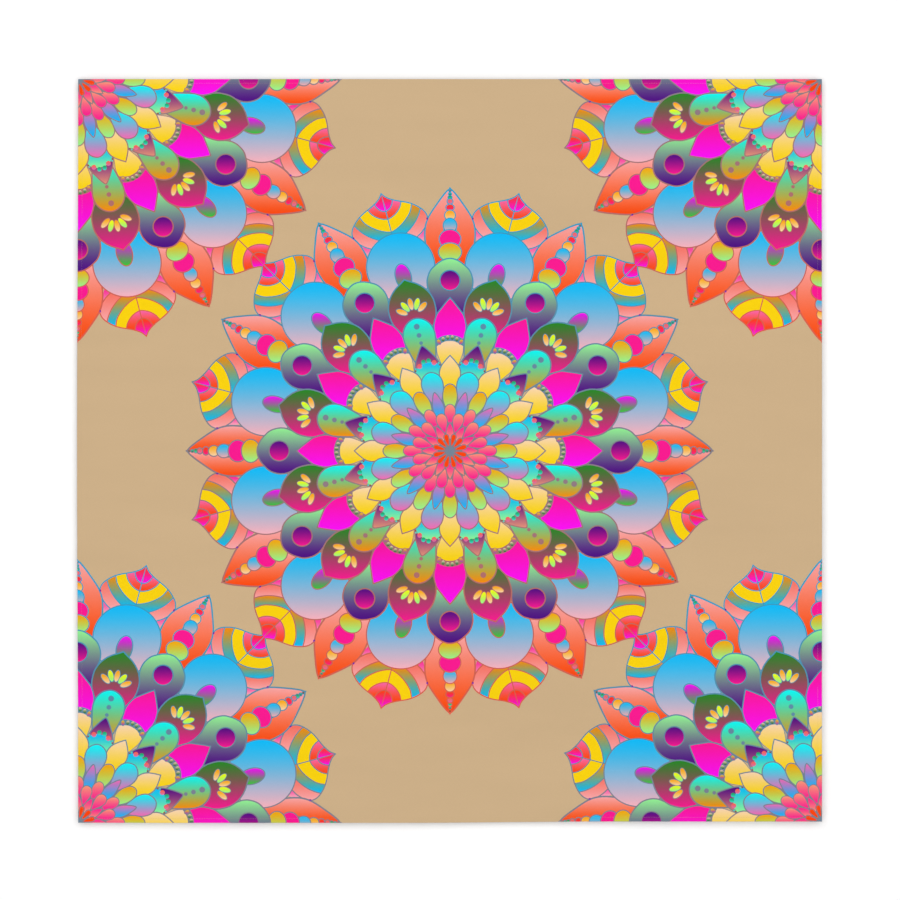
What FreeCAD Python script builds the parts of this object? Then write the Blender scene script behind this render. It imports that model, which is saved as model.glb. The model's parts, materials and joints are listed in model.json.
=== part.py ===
"""Printed square cloth that hangs flat on a wall, with a double-turned hem sewn along each side.

Frame: +Z up, the printed face towards -Y and the wall at +Y. The origin is the middle of the
top edge, on the plane of the hems' backs, which lies against the wall. Millimetres.

The cloth bends most easily just below its stiff top hem. There the face cloth is divided into
a header band, which stays on the wall, and the printed panel, which can be lifted from below.
"""

import FreeCAD, Part
import os

# Cloth
CLOTH_WIDTH = 1400.0
CLOTH_DROP = 1400.0
CLOTH_THICKNESS = 0.5

# Double-turned hems: the edge is turned to the back, and its raw edge is tucked under
TOP_HEM_WIDTH = 10.0
BOTTOM_HEM_WIDTH = 10.0
SIDE_HEM_WIDTH = 10.0
TURN_SLIT = 0.1  # air between the turned ply and the tucked ply
TUCK_SETBACK = 1.0  # from the edge fold's centre to the tucked ply's raw edge

# Seams: a needle thread on the printed face and a bobbin thread on the hem's back
THREAD_WIDTH = 0.3
THREAD_THICKNESS = 0.3
NEEDLE_THREAD_SINK = 0.2  # how deep tension pulls it into the printed face
SEAM_FROM_HEM_FOLD = 2.0  # from a hem's inner fold to the middle of its seam
SEAM_FROM_SIDE_EDGE = 3.0  # where the top and bottom seams start and end

# Clearances
BEND_SLIT = 0.2  # between the header band and the printed panel
HEM_END_GAP = 0.3  # between a side hem's end and the hem that it meets
THREAD_END_GAP = 0.3  # between a thread's end and what it stops at

# The stack of plies at a hem, from the wall to the printed face
TURN_RADIUS = CLOTH_THICKNESS + TURN_SLIT / 2.0
FACE_BACK_Y = -2.0 * TURN_RADIUS
FACE_FRONT_Y = FACE_BACK_Y - CLOTH_THICKNESS
EDGE_RADIUS = -FACE_FRONT_Y / 2.0

# Places that several pieces share
SIDE_X = CLOTH_WIDTH / 2.0
PANEL_TOP_Z = -(TOP_HEM_WIDTH + BEND_SLIT)
SIDE_HEM_TOP_Z = -(TOP_HEM_WIDTH + HEM_END_GAP)
BOTTOM_HEM_TOP_Z = -(CLOTH_DROP - BOTTOM_HEM_WIDTH)
SIDE_HEM_FOOT_Z = BOTTOM_HEM_TOP_Z + HEM_END_GAP
TOP_SEAM_Z = -(TOP_HEM_WIDTH - SEAM_FROM_HEM_FOLD)
BOTTOM_SEAM_Z = BOTTOM_HEM_TOP_Z - SEAM_FROM_HEM_FOLD
SIDE_SEAM_X = SIDE_X - SIDE_HEM_WIDTH + SEAM_FROM_HEM_FOLD
SIDE_SEAM_TOP_Z = SIDE_HEM_TOP_Z - SEAM_FROM_HEM_FOLD
SIDE_NEEDLE_FOOT_Z = BOTTOM_SEAM_Z + THREAD_WIDTH / 2.0 + THREAD_END_GAP
SIDE_BOBBIN_FOOT_Z = SIDE_HEM_FOOT_Z + THREAD_END_GAP


def block(x_range, y_range, z_range):
    """A block between two faces on each axis."""
    corner = FreeCAD.Vector(x_range[0], y_range[0], z_range[0])
    size = [high - low for low, high in (x_range, y_range, z_range)]
    return Part.makeBox(*size, corner)


def hem_section(hem_width):
    """The outline of a double-turned hem across its length, as a face in the X-Y plane.

    X runs from the cloth's edge inwards and Y from the wall (0) to the printed face. The ply
    comes round the edge fold from the printed face, runs inwards along the wall, turns at the
    hem's fold, and its raw edge ends inside the hem.
    """
    def point(x, y):
        return FreeCAD.Vector(x, y, 0)

    edge, turn, ply = EDGE_RADIUS, TURN_RADIUS, CLOTH_THICKNESS
    fold_x = hem_width - turn
    raw_x = edge + TUCK_SETBACK
    edge_outside = Part.Arc(point(edge, FACE_FRONT_Y), point(0, -edge), point(edge, 0))
    turn_outside = Part.Arc(point(fold_x, 0), point(hem_width, -turn), point(fold_x, FACE_BACK_Y))
    turn_inside = Part.Arc(
        point(fold_x, FACE_BACK_Y + ply), point(hem_width - ply, -turn), point(fold_x, -ply)
    )
    edge_inside = Part.Arc(point(edge, -ply), point(ply, -edge), point(edge, FACE_BACK_Y))
    outline = [
        edge_outside,
        Part.LineSegment(point(edge, 0), point(fold_x, 0)),
        turn_outside,
        Part.LineSegment(point(fold_x, FACE_BACK_Y), point(raw_x, FACE_BACK_Y)),
        Part.LineSegment(point(raw_x, FACE_BACK_Y), point(raw_x, FACE_BACK_Y + ply)),
        Part.LineSegment(point(raw_x, FACE_BACK_Y + ply), point(fold_x, FACE_BACK_Y + ply)),
        turn_inside,
        Part.LineSegment(point(fold_x, -ply), point(edge, -ply)),
        edge_inside,
        Part.LineSegment(point(edge, FACE_BACK_Y), point(edge, FACE_FRONT_Y)),
    ]
    return Part.Face(Part.Wire([piece.toShape() for piece in outline]))


def side_hem():
    """The right-hand hem, from below the top hem to above the bottom hem."""
    strip = hem_section(SIDE_HEM_WIDTH).extrude(
        FreeCAD.Vector(0, 0, SIDE_HEM_TOP_Z - SIDE_HEM_FOOT_Z)
    )
    strip = strip.mirror(FreeCAD.Vector(0, 0, 0), FreeCAD.Vector(1, 0, 0))
    strip.translate(FreeCAD.Vector(SIDE_X, 0, SIDE_HEM_FOOT_Z))
    return strip


def level_hem(hem_width, edge_z, inwards):
    """A hem along the top or bottom edge, over the cloth's whole width.

    edge_z is the edge's height, and inwards is 1 where the hem lies above it and -1 below it.
    """
    strip = hem_section(hem_width).extrude(FreeCAD.Vector(0, 0, CLOTH_WIDTH))
    strip.rotate(FreeCAD.Vector(0, 0, 0), FreeCAD.Vector(0, 1, 0), -90.0)
    if inwards < 0:
        strip = strip.mirror(FreeCAD.Vector(0, 0, 0), FreeCAD.Vector(0, 0, 1))
    strip.translate(FreeCAD.Vector(SIDE_X, 0, edge_z))
    return strip


def thread(run_x, run_z, on_face):
    """A seam's thread as one bar: run_x and run_z are where it starts and ends.

    A needle thread lies partly sunk in the printed face, and a bobbin thread is flush with
    the back, so that the hems lie flat on the wall.
    """
    if on_face:
        back = FACE_FRONT_Y + NEEDLE_THREAD_SINK
    else:
        back = 0.0
    return block(run_x, (back - THREAD_THICKNESS, back), run_z)


def about(middle):
    """The range across a thread whose middle line is there."""
    return (middle - THREAD_WIDTH / 2.0, middle + THREAD_WIDTH / 2.0)


def level_thread(seam_z, on_face):
    """The thread of the top or bottom seam."""
    end = SIDE_X - SEAM_FROM_SIDE_EDGE
    return thread((-end, end), about(seam_z), on_face)


def side_thread(on_face):
    """The thread of the right-hand side seam."""
    foot = SIDE_NEEDLE_FOOT_Z if on_face else SIDE_BOBBIN_FOOT_Z
    return thread(about(SIDE_SEAM_X), (foot, SIDE_SEAM_TOP_Z), on_face)


def mirrored(shape):
    """The same piece on the cloth's left-hand side."""
    return shape.mirror(FreeCAD.Vector(0, 0, 0), FreeCAD.Vector(1, 0, 0))


def face_cloth():
    """The printed panel below the bend line, with its side edges inside the hems' edge folds."""
    inner_x = SIDE_X - EDGE_RADIUS
    face_y = (FACE_FRONT_Y, FACE_BACK_Y)
    foot_z = -CLOTH_DROP + EDGE_RADIUS
    panel = block((-inner_x, inner_x), face_y, (foot_z, PANEL_TOP_Z))
    foot = block((-SIDE_X, SIDE_X), face_y, (foot_z, BOTTOM_HEM_TOP_Z))
    return panel.fuse(foot).removeSplitter()


def header_cloth():
    """The printed cloth in front of the top hem, above the bend line."""
    face_y = (FACE_FRONT_Y, FACE_BACK_Y)
    return block((-SIDE_X, SIDE_X), face_y, (-TOP_HEM_WIDTH, -EDGE_RADIUS))


def whole_hanging():
    """Every piece of the hanging, by name."""
    needle = {
        "top_needle_thread": level_thread(TOP_SEAM_Z, True),
        "bottom_needle_thread": level_thread(BOTTOM_SEAM_Z, True),
        "right_needle_thread": side_thread(True),
        "left_needle_thread": mirrored(side_thread(True)),
    }
    bobbin = {
        "top_bobbin_thread": level_thread(TOP_SEAM_Z, False),
        "bottom_bobbin_thread": level_thread(BOTTOM_SEAM_Z, False),
        "right_bobbin_thread": side_thread(False),
        "left_bobbin_thread": mirrored(side_thread(False)),
    }
    panel_threads = [
        needle["bottom_needle_thread"], needle["right_needle_thread"], needle["left_needle_thread"]
    ]
    right_hem = side_hem().cut(bobbin["right_bobbin_thread"])
    bottom_hem = level_hem(BOTTOM_HEM_WIDTH, -CLOTH_DROP, 1)
    top_hem = level_hem(TOP_HEM_WIDTH, 0.0, -1)
    pieces = {
        "header_band": header_cloth().cut(needle["top_needle_thread"]),
        "printed_panel": face_cloth().cut(panel_threads),
        "top_hem": top_hem.cut(bobbin["top_bobbin_thread"]),
        "bottom_hem": bottom_hem.cut(bobbin["bottom_bobbin_thread"]),
        "right_hem": right_hem,
        "left_hem": mirrored(right_hem),
    }
    pieces.update(needle)
    pieces.update(bobbin)
    return pieces


def main():
    """Builds the hanging and writes one file for each piece."""
    os.makedirs("parts", exist_ok=True)
    for name, shape in whole_hanging().items():
        if not shape.isValid() or len(shape.Solids) != 1:
            raise ValueError(name + " isn't one sound solid")
        shape.Solids[0].exportStep(os.path.join("parts", name + ".step"))
        box = shape.BoundBox
        print(name, "volume", round(shape.Volume, 1), "z", round(box.ZMin, 2), round(box.ZMax, 2))


main()
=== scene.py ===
# A printed cloth wall hanging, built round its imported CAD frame. One square of cloth carries a
# mandala in its middle and a quarter of the same mandala in each corner. The print is real
# geometry: every dyed area is its own set of faces, cut out of the cloth's sheet, and each corner
# of a face carries its dye. Lengths in this file are millimetres, up to the point where a mesh is
# made. In the flat cloth a place is (across, up), from the middle of the top edge.

import json
import logging
import math
from dataclasses import dataclass, field
from enum import Enum
from typing import Callable, Iterator, Optional

import bmesh
import bpy
import numpy as np
from mathutils.geometry import delaunay_2d_cdt
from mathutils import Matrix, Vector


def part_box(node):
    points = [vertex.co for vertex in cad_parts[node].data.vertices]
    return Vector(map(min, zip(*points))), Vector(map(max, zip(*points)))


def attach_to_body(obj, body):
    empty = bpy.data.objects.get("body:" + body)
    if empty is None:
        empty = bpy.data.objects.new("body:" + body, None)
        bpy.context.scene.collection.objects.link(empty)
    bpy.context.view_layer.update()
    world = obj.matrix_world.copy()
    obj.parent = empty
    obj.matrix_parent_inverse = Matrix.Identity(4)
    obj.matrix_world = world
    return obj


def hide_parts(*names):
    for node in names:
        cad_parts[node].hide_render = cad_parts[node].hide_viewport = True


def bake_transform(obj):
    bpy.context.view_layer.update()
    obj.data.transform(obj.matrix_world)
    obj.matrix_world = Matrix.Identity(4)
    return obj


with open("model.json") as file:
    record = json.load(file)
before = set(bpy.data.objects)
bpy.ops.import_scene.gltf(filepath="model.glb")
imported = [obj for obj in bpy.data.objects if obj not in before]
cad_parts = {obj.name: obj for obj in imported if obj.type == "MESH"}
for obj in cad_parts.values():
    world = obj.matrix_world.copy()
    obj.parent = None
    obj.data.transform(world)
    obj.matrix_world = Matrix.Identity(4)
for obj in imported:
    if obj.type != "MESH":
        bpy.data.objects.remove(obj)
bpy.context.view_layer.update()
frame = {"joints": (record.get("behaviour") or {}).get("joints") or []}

log = logging.getLogger("hanging")
METRES = 0.001
ONE_MILLIMETRE = 1.0 / METRES

Point = tuple[float, float]
Outline = list[Point]


# ---------------------------------------------------------------------------------------------
# Dyes and finishes
# ---------------------------------------------------------------------------------------------


class Dye(Enum):
    """The print's dyes, each as red, green and blue in one number, as a printer names them."""

    TAN = 0xD2B48C
    SLATE = 0x778899
    INDIGO = 0x4B0082
    ORCHID_PURPLE = 0x9932CC
    MAGENTA = 0xFF00FF
    DEEP_PINK = 0xFF1493
    HOT_PINK = 0xFF69B4
    MAUVE = 0xDE72B2
    SHELL_PINK = 0xFFACAE
    LIGHT_PINK = 0xFFB6C1
    MELON = 0xFB7160
    TOMATO = 0xFF6347
    ORANGE_RED = 0xFF4500
    DARK_ORANGE = 0xFF8C00
    ORANGE = 0xFFA500
    GOLD = 0xFFD700
    YELLOW = 0xFFFF00
    PEACH = 0xFFDAB9
    LIGHT_SALMON = 0xFFA07A
    DARK_SALMON = 0xE9967A
    PALE_GREEN = 0x98FB98
    LIME_GREEN = 0x32CD32
    LEAF_GREEN = 0x228B22
    JADE = 0x0FA05A
    PINE = 0x14602C
    TURQUOISE = 0x40E0D0
    AQUA = 0x00FFFF
    SKY_BLUE = 0x00BFFF

    @property
    def coded(self) -> np.ndarray:
        """The dye as three numbers from 0 to 1, on the scale that screens use."""
        return np.array([self.value >> 16, self.value >> 8 & 255, self.value & 255]) / 255.0


@dataclass(frozen=True)
class LineInk:
    """The ink of every drawn outline, which runs from one dye to another down each rosette."""

    top: Dye = Dye.SKY_BLUE
    foot: Dye = Dye.TOMATO
    top_height: float = 720.0
    foot_height: float = -545.0
    depth: float = 0.93

    def coded(self, height: np.ndarray) -> np.ndarray:
        """The ink at each height above the rosette's middle.

        Args:
            height: Heights, one for each place.

        Returns:
            Three numbers from 0 to 1 for each place.
        """
        share = (self.top_height - height) / (self.top_height - self.foot_height)
        share = np.clip(share, 0.0, 1.0)[:, None]
        return (self.top.coded * (1.0 - share) + self.foot.coded * share) * self.depth


@dataclass(frozen=True)
class ClothFinish:
    """How one side of the woven cloth looks.

    Args:
        name: The material's name.
        print_strength: How much of the dyes shows on this side, from 0 to 1.
        pitch: The distance between two threads of the weave, in metres.
        relief: How far the threads stand up, in metres.
    """

    name: str
    print_strength: float
    pitch: float = 0.00052
    relief: float = 0.00006
    bare: tuple[float, float, float] = (0.83, 0.79, 0.73)
    roughness: float = 0.86
    sheen: float = 0.06


@dataclass(frozen=True)
class ThreadFinish:
    """How the sewing thread looks."""

    name: str = "tan_sewing_thread"
    colour: tuple[float, float, float] = (0.56, 0.40, 0.235)
    twist_pitch: float = 0.0006
    roughness: float = 0.7
    sheen: float = 0.15


# ---------------------------------------------------------------------------------------------
# Outlines, drawn in millimetres as (sideways, outwards) from a rosette's middle
# ---------------------------------------------------------------------------------------------


def smooth_run(points: Outline, step: float) -> Outline:
    """A smooth curve through points.

    Args:
        points: The points to pass through, in order.
        step: About how far apart the curve's own points are.

    Returns:
        The curve's points, from the first point to the last.
    """
    if len(points) < 3:
        return list(points)
    knots = np.array(points, float)
    ahead = 2 * knots[0] - knots[1]
    beyond = 2 * knots[-1] - knots[-2]
    knots = np.vstack([ahead, knots, beyond])
    curve = []
    for before, start, end, after in zip(knots, knots[1:], knots[2:], knots[3:]):
        span, span_in, span_out = (
            max(math.dist(a, b) ** 0.5, 1e-6)
            for a, b in ((start, end), (before, start), (end, after))
        )
        leave = (start - before) / span_in - (end - before) / (span_in + span) + (end - start) / span
        arrive = (end - start) / span - (after - start) / (span + span_out) + (after - end) / span_out
        count = max(1, round(math.dist(start, end) / step))
        for t in np.arange(count) / count:
            curve.append(
                (2 * t**3 - 3 * t**2 + 1) * start
                + (t**3 - 2 * t**2 + t) * span * leave
                + (3 * t**2 - 2 * t**3) * end
                + (t**3 - t**2) * span * arrive
            )
    curve.append(knots[-2])
    return [(float(p[0]), float(p[1])) for p in curve]


def run_with_corners(points: list[tuple], step: float) -> Outline:
    """Smooth curves that meet at corners.

    Args:
        points: Points in order. One with a third value is a corner.
        step: About how far apart the curve's own points are.

    Returns:
        The points of the whole line.
    """
    line, run = [], []
    for point in points:
        run.append(tuple(point[:2]))
        if len(point) > 2 and len(run) > 1:
            line += smooth_run(run, step)[:-1]
            run = [tuple(point[:2])]
    return line + smooth_run(run, step)


def nearest_index(line: Outline, place: Point) -> int:
    """The index of the point on a line that lies nearest to a place."""
    return min(range(len(line)), key=lambda i: math.dist(line[i], place))


def petal(half: list[tuple], step: float = 3.0) -> Outline:
    """A symmetrical outline from its right half.

    Args:
        half: The right half's points from tip to foot. An end on the axis is round unless it is
            marked as a corner by a third value.
        step: About how far apart the outline's points are.

    Returns:
        The closed outline's points.
    """
    first, last = half[0], half[-1]
    round_tip = len(first) == 2 and first[0] == 0
    round_foot = len(last) == 2 and last[0] == 0
    lead = [(-half[1][0], half[1][1])] if round_tip else []
    tail = [(-half[-2][0], half[-2][1])] if round_foot else []
    curve = run_with_corners(lead + list(half) + tail, step)
    if round_tip:
        curve = curve[nearest_index(curve, first):]
    if round_foot:
        curve = curve[: nearest_index(curve, last) + 1]
    return curve + [(-u, v) for u, v in reversed(curve) if abs(u) > 1e-6]


def loop_with_corners(points: list[tuple], step: float = 2.0) -> Outline:
    """A closed outline with at least one corner, each corner marked by a third value."""
    first = next(i for i, p in enumerate(points) if len(p) > 2)
    return run_with_corners(points[first:] + points[: first + 1], step)[:-1]


def oval(middle: Point, across: float, along: float, count: int = 24, turn: float = 0.0) -> Outline:
    """An ellipse.

    Args:
        middle: Its middle.
        across: Half its width.
        along: Half its length.
        count: How many points it has.
        turn: How far it is turned, in degrees.

    Returns:
        The ellipse's points.
    """
    cos, sin = math.cos(math.radians(turn)), math.sin(math.radians(turn))
    angles = [2 * math.pi * k / count for k in range(count)]
    round_the_middle = [(across * math.sin(a), along * math.cos(a)) for a in angles]
    return [(middle[0] + x * cos + y * sin, middle[1] - x * sin + y * cos) for x, y in round_the_middle]


def mirrored(outline: Outline) -> Outline:
    """The outline's mirror image across the petal's axis."""
    return [(-u, v) for u, v in reversed(outline)]


def ring_area(ring: np.ndarray) -> float:
    """The area inside a closed outline, positive if it runs anticlockwise."""
    after = np.roll(ring, -1, axis=0)
    return float((ring[:, 0] * after[:, 1] - after[:, 0] * ring[:, 1]).sum() / 2)


def grown(ring: np.ndarray, distance: float) -> np.ndarray:
    """A closed outline moved outwards, or inwards by a negative distance.

    Args:
        ring: The outline's points.
        distance: How far it moves.

    Returns:
        The moved points, with sharp corners kept short.
    """
    side = 1.0 if ring_area(ring) > 0 else -1.0
    edge_in = ring - np.roll(ring, 1, axis=0)
    edge_out = np.roll(ring, -1, axis=0) - ring
    normals = []
    for edge in (edge_in, edge_out):
        length = np.maximum(np.linalg.norm(edge, axis=1), 1e-9)[:, None]
        normals.append(np.stack([edge[:, 1], -edge[:, 0]], 1) * side / length)
    both = normals[0] + normals[1]
    squared = (both**2).sum(1)
    sharp = squared < 0.35
    reach = np.where(sharp, 1.6 / np.sqrt(np.maximum(squared, 1e-6)), 2.0 / np.maximum(squared, 0.3))
    return ring + both * (distance * reach)[:, None]


def thinned(ring: np.ndarray, slack: float) -> np.ndarray:
    """A closed outline with the points left out that its shape doesn't need.

    Args:
        ring: The outline's points.
        slack: How far the new outline may lie from the old one.

    Returns:
        The points that are kept.
    """
    far = int(np.argmax(((ring - ring[0]) ** 2).sum(1)))
    closed = np.vstack([ring, ring[:1]])
    keep = {0, far}
    spans = [(0, far), (far, len(ring))]
    while spans:
        start, end = spans.pop()
        if end - start < 2:
            continue
        line = closed[end] - closed[start]
        away = closed[start + 1 : end] - closed[start]
        length = max(float(np.hypot(*line)), 1e-9)
        gaps = np.abs(away[:, 0] * line[1] - away[:, 1] * line[0]) / length
        worst = int(np.argmax(gaps))
        if gaps[worst] > slack:
            middle = start + 1 + worst
            keep.add(middle)
            spans += [(start, middle), (middle, end)]
    return ring[sorted(keep)]


def turned(ring: np.ndarray, degrees: float) -> np.ndarray:
    """Points turned clockwise about the rosette's middle."""
    cos, sin = math.cos(math.radians(degrees)), math.sin(math.radians(degrees))
    return ring @ np.array([[cos, -sin], [sin, cos]])


# ---------------------------------------------------------------------------------------------
# The mandala
# ---------------------------------------------------------------------------------------------


class Axis(Enum):
    """The two kinds of petal axis in a rosette, by their first angle from straight up."""

    SPEAR = 0.0
    BULB = 15.0


SECTOR = 30.0  # degrees from one axis to the next of its kind
CORNER = 1  # the third value of a point that is a corner


@dataclass(frozen=True)
class Motif:
    """One dyed shape of the rosette, which repeats on each axis of its kind.

    Args:
        name: What the shape is.
        axis: The axes that it stands on.
        outline: Its outline on an axis that points straight up.
        top: The dye at its highest place, or None where it is line ink all over.
        foot: The dye at its lowest place.
        line: The width of its drawn outline, or 0.
    """

    name: str
    axis: Axis
    outline: Outline
    top: Optional[Dye] = None
    foot: Optional[Dye] = None
    line: float = 0.0


def pair(name: str, axis: Axis, outline: Outline, *dyes: Dye, **facts: float) -> list[Motif]:
    """A motif and its mirror image, one on each side of the axis.

    Args:
        name: The motif's name, without its side.
        axis: The axes that it stands on.
        outline: Its outline on the right-hand side.
        dyes: Its dyes, top and foot.
        facts: The motif's other facts.

    Returns:
        Both motifs.
    """
    right = Motif(name + "_right", axis, outline, *dyes, **facts)
    left = Motif(name + "_left", axis, mirrored(outline), *dyes, **facts)
    return [right, left]


@dataclass(frozen=True)
class Rosette:
    """The mandala, ring by ring, from its outermost petals to its heart.

    Args:
        bold: The line round a large petal.
        fine: The line round a small petal.
        hair: The line round the smallest shapes.
    """

    bold: float = 2.5
    fine: float = 2.0
    hair: float = 1.6

    def motifs(self) -> list[Motif]:
        """Every motif, in the order in which they are printed over each other.

        Returns:
            The motifs, in printing order.
        """
        rings = [
            self.bulbs(), self.spears(), self.beads(), self.discs(), self.disc_petals(), self.heads(),
            self.leaves(), self.leaf_fans(), self.pink_petals(), self.drops(), self.fans(),
            self.purple_petals(), self.bead_arcs(), self.lemon_petals(), self.round_petals(),
            self.coral_petals(), self.heart(),
        ]
        return [motif for ring in rings for motif in ring]

    def bulbs(self) -> list[Motif]:
        """The striped petals with a curved tip, and the small fillers beside them.

        Returns:
            The motifs, in printing order.
        """
        filler = loop_with_corners([(40, 410, CORNER), (63, 424, CORNER), (60, 408), (52, 392, CORNER),
                                    (42, 396, CORNER)])
        half = [(0, 501, CORNER), (5.5, 493.5), (13.5, 487.2), (23, 481.7), (33, 477.3), (44, 472.2),
                (54.7, 465.3), (63.8, 456.8), (69.2, 449.8), (72.3, 442), (72.6, 434), (69.5, 426),
                (63, 418.5), (55, 411.5), (45, 405.5), (28, 397), (0, 390)]
        edge = run_with_corners(half, 4)
        tip_line = smooth_run([(17.5, 484.6), (14.5, 477), (8.5, 469.8), (0, 466.2)], 3)
        red_line = smooth_run([(32.5, 477.5), (27.5, 467.8), (17.5, 458.2), (7, 453), (0, 451.4)], 3)
        yellow_line = smooth_run([(50.8, 468.3), (44.5, 455), (33, 443), (20.5, 434.2), (8, 428.4),
                                  (0, 426.2)], 3)
        orange_line = smooth_run([(64.5, 456), (59.5, 447), (51, 436), (40, 426), (29.5, 419),
                                  (18, 413), (0, 408)], 3)
        shown = [point for point in orange_line if point[0] > 24]

        def band(upper: Outline, lower: Outline, from_height: float, to_height: float) -> Outline:
            """One stripe's right half, between two lines and the stretch of edge that joins them."""
            return upper[::-1] + [p for p in edge if to_height < p[1] < from_height] + lower

        stripes = [
            ("tip_band", band([(0, 501)], tip_line, 501, 484.8), Dye.ORANGE_RED, Dye.MAGENTA),
            ("red_band", band(tip_line, red_line, 484.4, 477.7), Dye.HOT_PINK, Dye.ORANGE_RED),
            ("yellow_band", band(red_line, yellow_line, 477.3, 468.5), Dye.GOLD, Dye.GOLD),
            ("orange_band", band(yellow_line, shown + [(0, 420)], 468.1, 456.3), Dye.DARK_ORANGE,
             Dye.SKY_BLUE),
            ("melon_band", band(shown, [(26, 415)], 455.8, 402.5), Dye.MELON, Dye.SHELL_PINK),
        ]
        motifs = pair("filler", Axis.BULB, filler, Dye.DEEP_PINK, Dye.LIGHT_PINK)
        motifs.append(Motif("bulb", Axis.BULB, petal(half, 4), line=self.bold))
        for name, outline, top, foot in stripes:
            motifs += pair(name, Axis.BULB, outline, top, foot, line=2.0)
        return motifs

    def spears(self) -> list[Motif]:
        """The pointed outermost petals, each in two halves that meet under its string of beads.

        Returns:
            The motifs, in printing order.
        """
        outer = [(0, 493.8), (5.6, 489.3), (15.5, 477.5), (25, 464.2), (33, 452.6), (40.3, 440.5),
                 (44.8, 429), (47, 418), (47.4, 403), (46, 389.8)]
        beside_disc = [(37.4, 378.2), (31, 362.8), (28.6, 346), (26, 341)]
        under_beads = [(14, 350), (12, 358), (16, 365), (20, 374), (15, 386), (18.5, 398), (11, 413),
                       (11.5, 424), (6.5, 437), (9, 444), (4.5, 452), (6, 458), (2.5, 465.5), (4.5, 470),
                       (2, 478), (0, 484)]
        half = smooth_run(outer, 4) + beside_disc + under_beads
        notch = oval((43.0, 437.0), 1.5, 2.4, 12)
        return [*pair("spear", Axis.SPEAR, half, Dye.SHELL_PINK, Dye.ORANGE_RED, line=3.0),
                *pair("notch", Axis.SPEAR, notch, Dye.INDIGO, Dye.ORCHID_PURPLE)]

    def beads(self) -> list[Motif]:
        """The string of beads up each spear, which grow towards the rosette's middle.

        Returns:
            The motifs, in printing order.
        """
        rows = [
            (489.8, 2.4, 2.5, Dye.ORANGE_RED, Dye.PINE), (483.6, 3.1, 3.0, Dye.TURQUOISE, Dye.PINE),
            (477.2, 4.2, 3.6, Dye.LEAF_GREEN, Dye.TURQUOISE), (469.6, 5.7, 5.2, Dye.TOMATO, Dye.MAUVE),
            (458.2, 8.0, 6.5, Dye.ORANGE_RED, Dye.DEEP_PINK), (443.4, 10.3, 10.3, Dye.ORANGE, Dye.PEACH),
            (424.6, 12.9, 13.5, Dye.SKY_BLUE, Dye.SHELL_PINK),
            (398.6, 20.5, 18.2, Dye.DEEP_PINK, Dye.DEEP_PINK),
            (374.2, 21.8, 17.5, Dye.ORANGE, Dye.PALE_GREEN),
        ]
        return [
            Motif(f"bead_{number}", Axis.SPEAR, oval((0, height), across, along, 18 if across < 9 else 36),
                  top, foot, self.hair if across < 5 else self.fine)
            for number, (height, across, along, top, foot) in enumerate(rows, 1)
        ]

    def discs(self) -> list[Motif]:
        """The large plain discs."""
        disc = oval((0, 358.4), 64.3, 64.0, 72)
        return [Motif("disc", Axis.BULB, disc, Dye.SKY_BLUE, Dye.LIGHT_PINK, 2.2)]

    def disc_petals(self) -> list[Motif]:
        """The plain oval petal on each disc."""
        oval_petal = oval((0, 339), 15, 25, 40)
        return [Motif("disc_petal", Axis.BULB, oval_petal, Dye.MAGENTA, Dye.LIME_GREEN, 2.0)]

    def heads(self) -> list[Motif]:
        """The round-headed petals, each with a plain round inset.

        Returns:
            The motifs, in printing order.
        """
        half = [(0, 362.4), (7, 361.5), (14.8, 358.6), (23, 353.4), (30.4, 346.8), (36.2, 340.6),
                (40.5, 332), (43, 321.3), (42.8, 311), (40.4, 302.5), (36, 293), (31, 280),
                (27.5, 268), (22, 254), (0, 248)]
        head = Motif("head", Axis.SPEAR, petal(half, 4), Dye.PALE_GREEN, Dye.INDIGO, self.bold)
        inset = oval((0, 321), 19, 19, 48)
        return [head, Motif("head_inset", Axis.SPEAR, inset, Dye.INDIGO, Dye.DEEP_PINK, self.fine)]

    def leaves(self) -> list[Motif]:
        """The broad pointed leaves.

        Returns:
            The motifs, in printing order.
        """
        half = [(0, 333.4, CORNER), (7.8, 328.3), (18, 322.3), (28, 314.2), (36, 304.2), (41.1, 294),
                (43.8, 283.6), (44.2, 273), (43.2, 262.3), (40.2, 252.2), (35.4, 242.8), (30, 235.5),
                (22, 226), (0, 215)]
        return [Motif("leaf", Axis.BULB, petal(half, 4), Dye.LEAF_GREEN, Dye.DEEP_PINK, self.bold)]

    def leaf_fans(self) -> list[Motif]:
        """The fan of plain ovals on each leaf, in two dyes by turns.

        Returns:
            The motifs, in printing order.
        """
        motifs = []
        for number, angle in enumerate((-56, -28, 0, 28, 56)):
            sideways, outwards = math.sin(math.radians(angle)), math.cos(math.radians(angle))
            blade = oval((24 * sideways, 262 + 24 * outwards), 5.4, 11.5, 24, angle)
            top, foot = (Dye.YELLOW, Dye.PALE_GREEN) if number % 2 else (Dye.ORANGE, Dye.PEACH)
            motifs.append(Motif(f"fan_blade_{number}", Axis.BULB, blade, top, foot, 1.3))
        return motifs

    def pink_petals(self) -> list[Motif]:
        """The plain pink petals between the leaves.

        Returns:
            The motifs, in printing order.
        """
        half = [(0, 288.4, CORNER), (7, 280.6), (14, 271.4), (20, 264), (25, 257), (28, 248.5),
                (30.2, 237.6), (30, 227), (27, 214), (21, 204), (0, 198)]
        return [Motif("pink_petal", Axis.SPEAR, petal(half, 4), Dye.DEEP_PINK, Dye.MAGENTA, self.bold)]

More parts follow.
